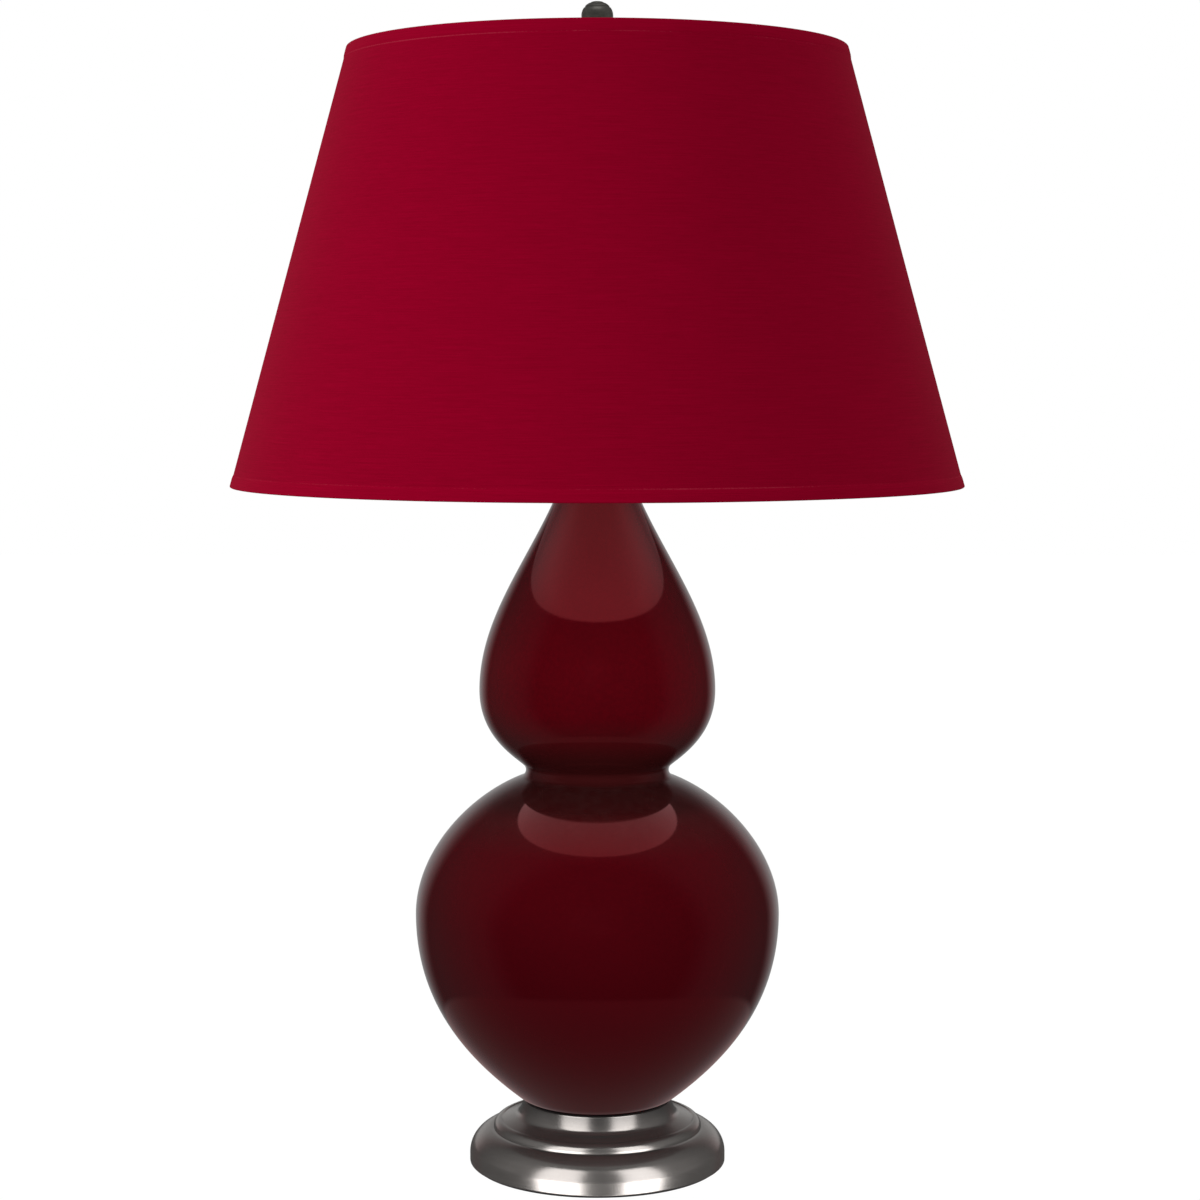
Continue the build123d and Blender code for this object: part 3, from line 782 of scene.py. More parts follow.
@dataclass(frozen=True)
class TurnedMetalFinish(Finish):
    """Satin metal with fine turning lines, and darker between two heights: patina with painted shade in the
    base's cove.

    Attributes:
        metallic: Share of metal.
        hollow: Heights between which it starts to darken, out of reach where nothing darkens.
        hollow_end: Heights between which the darkening ends.
        patina_and_shade: Colour of the darkening, patina with painted shade.
        patina_and_shade_share: Most of that colour.
    """

    metallic: float = 1.0
    hollow: Pair = (9.0, 9.1)
    hollow_end: Pair = (70 * MM, 80 * MM)
    # patina with painted shade, for the darker cove of the base
    patina_and_shade: Triple = (0.05, 0.05, 0.052)
    patina_and_shade_share: float = 0.5
    dust: Triple = (0.45, 0.42, 0.38)
    dust_amount: float = 0.08

    def build(self, groups: SharedGroups) -> bpy.types.Material:
        """The metal as a material.

        Args:
            groups: Effects that the finishes share.

        Returns:
            The material.
        """
        material, w, shader = self.start(Metallic=self.metallic, Anisotropic=0.4)
        lines = w.group(groups.turning, Fineness=2500.0, Breaks=2.0)
        grain = w.group(groups.grain, Coarse=35.0, Fine=600.0)["Value"]
        patina = w.remap(grain, 0.35, 0.68, 0.0, 1.0)
        streaks = w.remap(lines["Value"], 0.3, 0.7, 0.0, 1.0)
        blend = w.plus(w.times(patina, 0.55), w.times(streaks, 0.45))
        base = w.mix(blend, self.shade, self.colour)
        height = w.height()
        # patina with painted shade between the two heights
        deep = w.remap(height, *self.hollow, 0.0, self.patina_and_shade_share)
        base = w.mix(w.times(deep, w.remap(height, *self.hollow_end, 1.0, 0.0)), base, self.patina_and_shade)
        base = w.mix(w.group(groups.dust, Amount=self.dust_amount)["Mask"], base, self.dust)
        self.link(w, shader, base, w.remap(blend, 0.0, 1.0, *self.rough), lines["Height"])
        return material


@dataclass(frozen=True)
class ClothFinish(Finish):
    """Fine woven cloth with slubs, laid smooth over a stiff backing.

    Attributes:
        pitch: Distance between two threads.
        slubs: Lengths of its long and its short slubs.
        lines: Heights of its hems' edges, where a pale line is painted as a highlight.
        thread: Colour of the painted highlight line at the hems' edges.
        highlight_band: Distance from a line to the share of that colour.
        highlight_breaks: Grain to the share of the painted highlight that stays.
    """

    pitch: float = 0.45 * MM
    slubs: Pair = (50 * MM, 12 * MM)
    lines: tuple[float, ...] = ()
    # painted highlight along the hems' edges
    thread: Triple = (0.42, 0.030, 0.060)
    highlight_band: Ramp = (0.2 * MM, 0.5 * MM, 1.0, 0.0)
    highlight_breaks: Ramp = (0.49, 0.60, 0.0, 0.6)
    sheen: float = 0.10
    sheen_tint: Triple = (0.85, 0.25, 0.30)

    def build(self, groups: SharedGroups) -> bpy.types.Material:
        """The cloth as a material.

        Args:
            groups: Effects that the finishes share.

        Returns:
            The material.
        """
        sheen = {"Sheen_Weight": self.sheen, "Sheen_Roughness": 0.45, "Sheen_Tint": self.sheen_tint}
        material, w, shader = self.start(Specular_IOR_Level=0.0, **sheen)
        long, short = (w.group(groups.weave, Pitch=self.pitch, Slub_Length=length) for length in self.slubs)
        grain = w.group(groups.grain, Coarse=12.0, Fine=1500.0)["Value"]
        slubs = w.plus(w.times(long["Slubs"], 0.6), w.times(short["Slubs"], 0.4))
        tone = w.plus(w.times(slubs, 0.6), w.times(long["Threads"], 0.2))
        tone = w.plus(tone, w.times(grain, 0.2))
        base = w.mix(w.remap(tone, 0.1, 0.8, 0.0, 1.0), self.shade, self.colour)
        if self.lines:
            # painted highlight line along each hem's edge
            base = w.mix(self.hem_edge_highlight(w, grain), base, self.thread)
        self.link(w, shader, base, w.remap(tone, 0.0, 1.0, *self.rough), long["Height"])
        return material

    def hem_edge_highlight(self, w: Wiring, grain: Signal) -> Signal:
        """Mask of the pale, broken painted highlight at each height in lines, along the hems' edges.

        Args:
            w: The material's wiring.
            grain: Noise that breaks the highlight up.

        Returns:
            The mask.
        """
        height = w.height()
        mask = 0.0
        for line in self.lines:
            mask = w.plus(w.remap(w.gap(height, line), *self.highlight_band), mask)
        return w.times(mask, w.remap(grain, *self.highlight_breaks))


@dataclass(frozen=True)
class PlainFinish(Finish):
    """Moulded plastic, rubber, card, enamel, felt or glass: grained colour, gloss and height.

    Attributes:
        metallic: Share of metal.
        subsurface: Share of light that spreads under its surface.
        fine: Fineness of its grain.
    """

    metallic: float = 0.0
    subsurface: float = 0.0
    fine: float = 1500.0
    dust: Triple = (0.5, 0.47, 0.43)
    dust_amount: float = 0.06

    def build(self, groups: SharedGroups) -> bpy.types.Material:
        """The finish as a material.

        Args:
            groups: Effects that the finishes share.

        Returns:
            The material.
        """
        material, w, shader = self.start(Metallic=self.metallic, Subsurface_Weight=self.subsurface)
        grain = w.group(groups.grain, Coarse=80.0, Fine=self.fine)
        spread = w.remap(grain["Value"], 0.3, 0.7, 0.0, 1.0)
        base = w.mix(spread, self.shade, self.colour)
        base = w.mix(w.group(groups.dust, Amount=self.dust_amount)["Mask"], base, self.dust)
        self.link(w, shader, base, w.remap(spread, 0.0, 1.0, *self.rough), grain["Height"])
        return material


class Look(Enum):
    """Every finish on the lamp, with the record's material slot as its value."""

    GLAZE = "glaze"
    SPUN_METAL = "spun_metal"
    DARK_METAL = "dark_metal"
    NICKEL = "nickel"
    BRASS = "brass"
    IRON = "iron"
    ZINC = "zinc_steel"
    FELT = "felt"
    RUBBER = "rubber"
    BLACK_PLASTIC = "black_plastic"
    CARD = "card"
    CLOTH = "crimson_fabric"
    HEM = "crimson_hem"
    STYRENE = "styrene"
    ENAMEL = "white_wire"
    FROSTED_GLASS = "frosted_glass"
    DARK_GLASS = "dark_glass"
    SOLDER = "solder"


# Each finish: name, paler and darker colour, roughness, strength and height of its bumps.
FINISHES = {
    Look.GLAZE: GlazeFinish(
        "oxblood_glaze", (0.077, 0.0009, 0.0035), (0.031, 0.0007, 0.0021), (0.055, 0.075), 0.03, 0.2 * MM
    ),
    Look.SPUN_METAL: TurnedMetalFinish(
        "antique_silver", (0.47, 0.44, 0.42), (0.38, 0.35, 0.33), (0.18, 0.23), 0.03, 0.02 * MM,
        # darker in the upper cove and lip: patina with painted shade
        metallic=0.92, hollow=(36 * MM, 44 * MM),
    ),
    Look.DARK_METAL: TurnedMetalFinish(
        "dark_bronze", (0.16, 0.15, 0.135), (0.085, 0.085, 0.075), (0.30, 0.42), 0.12, 0.04 * MM, metallic=0.5
    ),
    Look.NICKEL: TurnedMetalFinish(
        "satin_nickel", (0.62, 0.60, 0.56), (0.56, 0.54, 0.50), (0.22, 0.30), 0.02, 0.01 * MM
    ),
    Look.BRASS: TurnedMetalFinish(
        "plain_brass", (0.75, 0.55, 0.25), (0.66, 0.47, 0.21), (0.22, 0.32), 0.03, 0.01 * MM
    ),
    Look.IRON: PlainFinish(
        "cast_iron", (0.06, 0.06, 0.062), (0.03, 0.03, 0.032), (0.6, 0.8), 0.5, 0.3 * MM, metallic=0.6
    ),
    Look.ZINC: TurnedMetalFinish(
        "zinc_plated_steel", (0.55, 0.55, 0.54), (0.42, 0.42, 0.40), (0.3, 0.45), 0.1, 0.04 * MM
    ),
    Look.FELT: PlainFinish(
        "black_felt", (0.02, 0.02, 0.02), (0.009, 0.009, 0.009), (0.9, 1.0), 0.6, 0.3 * MM, fine=4000.0
    ),
    Look.RUBBER: PlainFinish(
        "black_rubber", (0.02, 0.02, 0.021), (0.01, 0.01, 0.011), (0.55, 0.7), 0.2, 0.1 * MM
    ),
    Look.BLACK_PLASTIC: PlainFinish(
        "black_plastic", (0.028, 0.026, 0.025), (0.015, 0.014, 0.013), (0.3, 0.42), 0.1, 0.08 * MM
    ),
    Look.CARD: PlainFinish(
        "brown_card", (0.10, 0.07, 0.045), (0.06, 0.04, 0.025), (0.75, 0.9), 0.3, 0.1 * MM
    ),
    Look.CLOTH: ClothFinish(
        "crimson_cloth", (0.334, 0.0005, 0.0216), (0.246, 0.0003, 0.0142), (0.72, 0.88), 0.18, 0.08 * MM
    ),
    Look.HEM: ClothFinish(
        "crimson_hem_cloth", (0.350, 0.0005, 0.0226), (0.262, 0.0003, 0.0150), (0.72, 0.88), 0.18, 0.08 * MM,
        # hems' edges, where a pale line is painted as a highlight
        lines=(473.6 * MM, 747.4 * MM),
    ),
    Look.STYRENE: PlainFinish(
        "white_styrene", (0.86, 0.84, 0.80), (0.78, 0.76, 0.72), (0.45, 0.6), 0.05, 0.05 * MM
    ),
    Look.ENAMEL: PlainFinish(
        "white_enamel", (0.80, 0.78, 0.74), (0.70, 0.68, 0.64), (0.3, 0.45), 0.1, 0.06 * MM
    ),
    Look.FROSTED_GLASS: PlainFinish(
        "frosted_glass", (0.92, 0.91, 0.88), (0.86, 0.85, 0.82), (0.35, 0.45), 0.05, 0.03 * MM, subsurface=0.3
    ),
    Look.DARK_GLASS: PlainFinish(
        "dark_glass", (0.02, 0.02, 0.025), (0.012, 0.012, 0.015), (0.08, 0.15), 0.05, 0.03 * MM
    ),
    Look.SOLDER: PlainFinish(
        "solder", (0.60, 0.59, 0.57), (0.45, 0.44, 0.42), (0.3, 0.5), 0.4, 0.2 * MM, metallic=1.0
    ),
}


# ------------------------------------------------------------------ workshop
@dataclass
class Workshop:
    """Turns surfaces into pieces that wear a finish and ride on a body."""

    frame: dict
    groups: SharedGroups = field(default_factory=SharedGroups)
    materials: dict[Look, bpy.types.Material] = field(default_factory=dict)

    def material(self, look: Look) -> bpy.types.Material:
        """The look's material, made on its first use.

        Args:
            look: The finish.

        Returns:
            The material.
        """
        if look not in self.materials:
            self.materials[look] = FINISHES[look].build(self.groups)
        return self.materials[look]

    def piece(
        self,
        name: str,
        surface: Surface,
        look: Look,
        body: str,
        replaces: tuple[str, ...],
        sharp: float = SHARP,
    ) -> bpy.types.Object:
        """Makes one piece.

        Args:
            name: Name of the piece.
            surface: Its surface, in place.
            look: Its finish.
            body: CAD body that it rides on.
            replaces: CAD nodes that it stands for.
            sharp: Angle in degrees past which an edge stays sharp.

        Returns:
            The piece's object.
        """
        mesh = bpy.data.meshes.new(name)
        mesh.from_pydata(surface.points.tolist(), [], surface.faces)
        mesh.uv_layers.new(name="UVMap")
        mesh.uv_layers[0].data.foreach_set("uv", surface.uvs.astype(np.float32).ravel())
        mesh.validate()
        mesh.shade_smooth()
        mesh.set_sharp_from_angle(angle=math.radians(sharp))
        mesh.materials.append(self.material(look))
        made = shown(name, mesh)
        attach(made, body)
        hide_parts(*replaces)
        log.info("%s: %d faces on %s", name, len(surface.faces), body)
        return made

    def dress(self, look: Look, *nodes: str) -> None:
        """Gives CAD nodes that stay in view their material.

        Args:
            look: The finish.
            nodes: Names of the nodes.
        """
        for node in nodes:
            mesh = self.frame["nodes"][node].data
            mesh.materials.clear()
            mesh.materials.append(self.material(look))


def low(node: str) -> float:
    """Lowest height of a CAD node, in metres."""
    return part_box(node)[0].z


def high(node: str) -> float:
    """Highest height of a CAD node, in metres."""
    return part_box(node)[1].z


def reach(node: str) -> float:
    """Largest x of a CAD node, which on a turned piece is its radius."""
    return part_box(node)[1].x


# ------------------------------------------------------------------ base
@dataclass
class Base:
    """Stepped metal base with its felt, gasket and cord bushing."""

    flange: Pair = (6.0 * MM, 1.5 * MM)           # width and thickness of the flange under the rim
    rim_cut: float = 0.9 * MM
    rim_round: float = 0.6 * MM
    band: float = 8.0 * MM                        # top of the upright band at the rim
    shoulder: float = 17.5 * MM
    shoulder_sweep: float = 80.0
    step_round: float = 0.15 * MM
    bead_radius: float = 71.2 * MM
    bead_round: float = 5.5 * MM
    groove: float = 0.6 * MM
    cove: Pair = (54.3 * MM, 34.3 * MM)
    cove_round: float = 6.0 * MM
    lip_radius: float = 50.3 * MM
    lip_edge: float = 0.8 * MM
    lip_width: float = 2.0 * MM
    lip_round: float = 0.7 * MM
    pipe_hole: float = 5.0 * MM
    wall: float = 2.0 * MM
    sharp: float = 28.0
    felt_round: float = 0.4 * MM
    gasket_bore: float = 37.5 * MM
    gasket_bulge: float = 0.5 * MM
    cord_bore: float = 3.2 * MM
    cord_tube: float = 4.4 * MM
    cord_lip: float = 1.6 * MM

    def profile(self) -> np.ndarray:
        """Outer outline from the foot's flange up to the lip, and back along the inside.

        Returns:
            The closed profile.
        """
        foot, top = low("base_plinth"), high("base_plinth")
        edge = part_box("base_plinth")[1].y
        middle = (edge - self.shoulder, self.band)
        shoulder = arc(middle, self.shoulder, 0, self.shoulder_sweep, 28)
        step_height = shoulder[-1][1]
        bead_low = step_height + self.groove
        bead_inner = self.bead_radius - self.bead_round
        bead = arc((bead_inner, bead_low), self.bead_round, 0, 90, 16)
        groove = (bead[-1][0] - self.groove, bead[-1][1] - self.groove)
        lip_low = (self.lip_radius, top - self.lip_edge)
        cove = filleted_path(np.array([groove, self.cove, lip_low]), [self.cove_round], 16)
        lip_corners = [lip_low, (self.lip_radius, top), (self.lip_radius - self.lip_width, top)]
        ceiling = np.array(
            [
                (self.pipe_hole, top),
                (self.pipe_hole, top - self.wall),
                (self.lip_radius - self.wall, top - self.wall),
                (self.cove[0] - self.wall, self.cove[1] - self.wall),
                (bead_inner, bead_low + self.bead_round - self.wall),
            ]
        )
        side = arc(middle, self.shoulder - self.wall, self.shoulder_sweep, -self.shoulder_sweep, 16)
        width, thickness = self.flange
        inside, over = edge - width, foot + thickness
        ledge = np.array([(edge - self.wall, over), (inside, over), (inside, foot)])
        under = [(inside, foot), (edge - self.rim_cut, foot)]
        rim_corners = [*under, (edge, foot + self.rim_cut), (edge, self.band)]
        step_corners = [tuple(shoulder[-1]), (self.bead_radius, step_height), (self.bead_radius, bead_low)]
        rim, step = rounded(rim_corners, self.rim_round), rounded(step_corners, self.step_round)
        lip = rounded(lip_corners, self.lip_round)
        return joined(rim, shoulder, step, bead, groove, cove, lip, ceiling, side, ledge)

    def felt(self) -> Surface:
        """Felt disc with a soft edge."""
        return turned(rounded(block(0, reach("base_felt"), 0, high("base_felt")), self.felt_round))

    def gasket(self) -> Surface:
        """Ring with a half round edge, under the gourd's foot.

        Returns:
            The ring's surface.
        """
        under, over = low("foot_gasket"), high("foot_gasket")
        half = (over - under) / 2
        edge = arc((reach("foot_gasket") - self.gasket_bulge, (under + over) / 2), half, -90, 180, 8)
        return turned(joined((self.gasket_bore, under), edge, (self.gasket_bore, over)), closed=True)

    def grommet(self) -> Surface:
        """Cord bushing with a rounded flange and a flared bore, along +Y.

        Returns:
            The bushing's surface, in place.
        """
        lower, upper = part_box("cord_bushing")
        flange, length = (upper.x - lower.x) / 2, upper.y - lower.y
        flare, chamfer = 0.6 * MM, 0.5 * MM
        profile = [
            (self.cord_bore, 0),
            (self.cord_tube, 0),
            (self.cord_tube, length - self.cord_lip),
            (flange, length - self.cord_lip),
            (flange, length - 0.4 * self.cord_lip),
            (flange - chamfer, length),
            (self.cord_bore + flare, length),
            (self.cord_bore, length - 0.8 * MM),
        ]
        shape = turned(rounded(profile, 0.3 * MM, 4), SMALL_SEGMENTS, closed=True)
        return moved(shape, (0, lower.y, (lower.z + upper.z) / 2), TO_BACK)

    def build(self, shop: Workshop) -> None:
        """Makes the pieces of the base.

        Args:
            shop: Where the pieces are made.
        """
        base = turned(self.profile()[:-1], closed=True)
        shop.piece("spun_base", base, Look.SPUN_METAL, "lamp", ("base_plinth",), self.sharp)
        shop.piece("felt_pad", self.felt(), Look.FELT, "lamp", ("base_felt",))
        shop.piece("foot_ring", self.gasket(), Look.RUBBER, "lamp", ("foot_gasket",))
        shop.piece("cord_grommet", self.grommet(), Look.BLACK_PLASTIC, "lamp", ("cord_bushing",))
        shop.dress(Look.IRON, "base_weight")
        shop.dress(Look.ZINC, "base_washer", "base_nut", "lamp_pipe")


# ------------------------------------------------------------------ gourd
@dataclass
class Gourd:
    """Ceramic double gourd: two cubic curves for each bulb, joined by an arc at the waist.

    A curve's pair of handles is a share of the height that it covers.
    """

    foot: float = 50.5 * MM
    foot_cut: float = 1.2 * MM
    foot_round: float = 1.0 * MM
    belly: Pair = (123.8 * MM, 174.0 * MM)
    waist: Pair = (48.6 * MM, 272.3 * MM)
    waist_round: float = 5.5 * MM
    crown: Pair = (80.0 * MM, 326.7 * MM)
    mouth: float = 26.4 * MM
    foot_angle: float = 37.6
    fall_angle: float = 21.0
    spring_angle: float = 40.9
    mouth_angle: float = 67.2
    foot_handles: Pair = (0.41, 0.455)
    fall_handles: Pair = (0.415, 0.395)
    spring_handles: Pair = (0.184, 0.556)
    mouth_handles: Pair = (0.368, 0.374)
    wall: float = 5.5 * MM
    floor: float = 9.0 * MM
    throat: float = 4.0 * MM                      # how far under the mouth the inner wall ends
    rim_inset: float = 0.3 * MM
    pipe_hole: float = 5.1 * MM
    sharp: float = 50.0

    @staticmethod
    def curve(
        start: tuple[Pair, float], end: tuple[Pair, float], span: float, handles: Pair, count: int
    ) -> np.ndarray:
        """Cubic curve whose handles point off its two ends.

        Args:
            start: First point, and the angle in degrees at which its handle leaves it.
            end: The same of the last point.
            span: Height that the handles are shares of.
            handles: Length of each handle as a share of the span.
            count: Points on the curve.

        Returns:
            The curve's points.
        """
        tips = []
        for (point, angle), share in zip((start, end), handles):
            turn = math.radians(angle)
            tips.append(np.asarray(point) + share * span * np.array([math.cos(turn), math.sin(turn)]))
        return bezier([start[0], *tips, end[0]], count)

    def outer(self) -> np.ndarray:
        """Outer profile from foot to mouth.

        Returns:
            The profile's points.
        """
        bottom, top = low("gourd_body"), high("gourd_body")
        foot, mouth, waist = (self.foot, bottom), (self.mouth, top), self.waist[1]
        sweep = self.fall_angle + self.spring_angle - 180
        centre = (self.waist[0] + self.waist_round, waist)
        neck = arc(centre, self.waist_round, 270 - self.fall_angle, sweep, 20)
        belly, crown = self.belly, self.crown
        rise = crown[1] - waist
        return joined(
            self.curve((foot, self.foot_angle), (belly, -90), belly[1] - bottom, self.foot_handles, 60),
            self.curve((belly, 90), (neck[0], -self.fall_angle), waist - belly[1], self.fall_handles, 56),
            neck,
            self.curve((neck[-1], self.spring_angle), (crown, -90), rise, self.spring_handles, 36),
            self.curve((crown, 90), (mouth, -self.mouth_angle), top - crown[1], self.mouth_handles, 60),
        )

    def profile(self) -> np.ndarray:
        """Closed profile: foot, outer wall, rounded rim, and the inner wall at an even thickness.

        Returns:
            The profile's points.
        """
        outer = self.outer()
        bottom, top = outer[0][1], outer[-1][1]
        slope = np.gradient(outer, axis=0)
        slope /= np.linalg.norm(slope, axis=1)[:, None]
        inner = outer + self.wall * np.stack([-slope[:, 1], slope[:, 0]], axis=1)
        floor = low("gourd_body") + self.floor
        inner = inner[(inner[:, 1] > floor) & (inner[:, 1] < top - self.throat)][::-4]
        half = self.wall / 2
        rim = arc((self.mouth - half - self.rim_inset, top - half), half, 20, 140, 12)
        rim[:, 1] = np.minimum(rim[:, 1], top)
        foot_corners = [(self.pipe_hole, bottom), (self.foot - self.foot_cut, bottom), tuple(outer[2])]
        foot = rounded(foot_corners, self.foot_round)
        return joined(foot, outer[3:-2], rim, inner, (self.foot - self.wall, floor), (self.pipe_hole, floor))

    def build(self, shop: Workshop) -> None:
        """Makes the glazed body.

        Args:
            shop: Where the pieces are made.
        """
        body = turned(self.profile(), closed=True)
        shop.piece("glazed_gourd", body, Look.GLAZE, "lamp", ("gourd_body",), self.sharp)


# ------------------------------------------------------------------ neck and harp
def strip_top() -> float:
    """Height of the top of the saddle's strip, where its nut stands."""
    return low("saddle_nut")


@dataclass
class Harp:
    """Cap, neck, saddle, bent wire harp, its two sleeves and the swivel stud.

    The wire's heights flare, shoulder and crown are shares of its rise over the saddle or of its
    half width.
    """

    pipe_hole: float = 5.0 * MM
    spigot: float = 20.7 * MM
    cap_seat: float = 4.0 * MM
    cap_lip: Pair = (1.4 * MM, 2.1 * MM)          # heights of the edge's upright and of its top
    cap_sharp: float = 30.0
    bead: float = 1.0 * MM
    waist: float = 1.5 * MM
    neck_sharp: float = 35.0
    wire: float = 1.9 * MM
    wire_sides: int = 18
    leg: float = 31.0 * MM
    half_width: float = 57.0 * MM
    knee: float = 40.0 * MM
    radii: tuple[float, ...] = (24 * MM, 60 * MM, 60 * MM, 30 * MM)
    flare: float = 0.18
    shoulder: float = 0.29
    crown: float = 0.55
    boss: float = 9.0 * MM
    boss_bore: float = 3.25 * MM
    boss_half: float = 2.1 * MM
    boss_round: float = 0.6 * MM
    sleeve: Pair = (3.4 * MM, 4.2 * MM)
    sleeve_dip: float = 0.3 * MM
    stud: float = 3.15 * MM
    stud_head: Pair = (5.7 * MM, 1.6 * MM)
    stud_hub: float = 2.5 * MM
    thread: Pair = (0.35 * MM, 0.94 * MM)         # depth and pitch

    def cap(self) -> Surface:
        """Domed cap with a rolled edge and a spigot below.

        Returns:
            The cap's surface.
        """
        bottom, top, edge = low("vase_cap"), high("vase_cap"), reach("vase_cap")
        seat = bottom + self.cap_seat
        edge_top, lip = self.cap_lip
        lip_point = (edge - 0.7 * MM, seat + lip)
        corners = [(edge - 1.5 * MM, seat), (edge, seat), (edge, seat + edge_top), lip_point]
        rolled = rounded(corners, 0.6 * MM)
        handles = [(edge - 3.4 * MM, seat + 4.1 * MM), (20 * MM, top - 0.4 * MM)]
        dome = bezier([lip_point, *handles, (13 * MM, top)], 24)
        spigot = np.array([(self.pipe_hole, bottom), (self.spigot, bottom), (self.spigot, seat)])
        return turned(joined(spigot, rolled, dome, (self.pipe_hole, top)), SEGMENTS, closed=True)

    def neck(self) -> Surface:
        """Turned neck: a bead at each end of a shallow hollow.

        Returns:
            The neck's surface.
        """
        bottom, top, edge = low("neck_sleeve"), high("neck_sleeve"), reach("neck_sleeve")
        bead, inset, run = self.bead, 0.4 * MM, 6 * MM
        hollow = [
            (edge - inset, bottom + 2 * bead),
            (edge - self.waist, bottom + run),
            (edge - self.waist, top - run),
            (edge - inset, top - 2 * bead),
        ]
        profile = joined(
            (self.pipe_hole, bottom),
            arc((edge - bead, bottom + bead), bead, -90, 180, 10),
            bezier(hollow, 20),
            arc((edge - bead, top - bead), bead, -90, 180, 10),
            (self.pipe_hole, top),
        )
        return turned(profile, SMALL_SEGMENTS, closed=True)

    def wire_path(self, top: float) -> np.ndarray:
        """Route of the harp's wire from one leg over the top to the other.

        Args:
            top: Height of the wire's middle over the lamp's axis.

        Returns:
            Points of the route.
        """
        rise = top - strip_top()
        knee = strip_top() + self.knee
        half = [
            (self.leg, low("harp")),
            (self.leg, knee),
            (self.half_width, knee + self.flare * rise),
            (self.half_width, top - self.shoulder * rise),
            (self.crown * self.half_width, top),
        ]
        corners = np.array(half + [(-x, z) for x, z in reversed(half)])
        return upright(filleted_path(corners, [*self.radii, *reversed(self.radii)]))

    def harp_surface(self) -> Surface:
        """Wire with a flattened, drilled boss at the top.

        Returns:
            The wire's surface.
        """
        top = high("harp") - self.boss_half
        wire = tube(self.wire_path(top), ALONG_Y, self.wire, self.wire_sides)
        boss = washer(self.boss_bore, self.boss, top, self.boss_half, self.boss_round)
        return together(wire, turned(boss, SMALL_SEGMENTS, closed=True))

    def sleeve_surface(self, node: str) -> Surface:
        """Sleeve with a raised band at each end.

        Args:
            node: CAD node that it stands for.

        Returns:
            The sleeve's surface, in place.
        """
        bottom, top = low(node), high(node)
        inner, outer = self.sleeve
        dip, band, slope = outer - self.sleeve_dip, 2.0 * MM, 2.6 * MM
        profile = [
            (inner, bottom),
            (outer, bottom),
            (outer, bottom + band),
            (dip, bottom + slope),
            (dip, top - slope),
            (outer, top - band),
            (outer, top),
            (inner, top),
        ]
        lower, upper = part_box(node)
        shape = turned(rounded(profile, 0.35 * MM, 4), TINY_SEGMENTS, closed=True)
        return moved(shape, ((lower.x + upper.x) / 2, 0, 0))

    def stud_surface(self) -> Surface:
        """Swivel stud: head, shank, shoulder and threaded end.

        Returns:
            The stud's surface.
        """
        lower, shoulder = low("harp_stud"), reach("harp_stud")
        head, thickness = self.stud_head
        seat = high("harp") + 0.1 * MM
        hub = seat + self.stud_hub
        profile = [
            (0, lower),
            (head, lower),
            (head, lower + thickness),
            (self.stud, lower + thickness + 0.05 * MM),
            (self.stud, seat),
            (shoulder, seat),
            (shoulder, hub),
            (self.stud, hub),
            (self.stud, hub + 2.2 * MM),
            (0, hub + 2.2 * MM),
        ]
        thread = helical(self.stud, *self.thread, hub + 2.0 * MM, high("harp_stud"), TINY_SEGMENTS)
        return together(turned(rounded(profile, 0.3 * MM, 4), SMALL_SEGMENTS), thread)

    def build(self, shop: Workshop) -> None:
        """Makes the neck, the harp and what belongs to it.

        Args:
            shop: Where the pieces are made.
        """
        shop.piece("mouth_cap", self.cap(), Look.SPUN_METAL, "lamp", ("vase_cap",), self.cap_sharp)
        shop.piece("neck_turning", self.neck(), Look.SPUN_METAL, "lamp", ("neck_sleeve",), self.neck_sharp)
        shop.piece("harp_wire", self.harp_surface(), Look.NICKEL, "lamp", ("harp",))
        for label in ("left", "right"):
            node = f"harp_sleeve_{label}"
            shop.piece(f"{label}_sleeve", self.sleeve_surface(node), Look.NICKEL, node, (node,))
        shop.piece("swivel_stud", self.stud_surface(), Look.NICKEL, "shade", ("harp_stud",))
        shop.dress(Look.NICKEL, "harp_saddle")
        shop.dress(Look.RUBBER, "neck_gasket")
        shop.dress(Look.ZINC, "neck_nut", "saddle_nut")


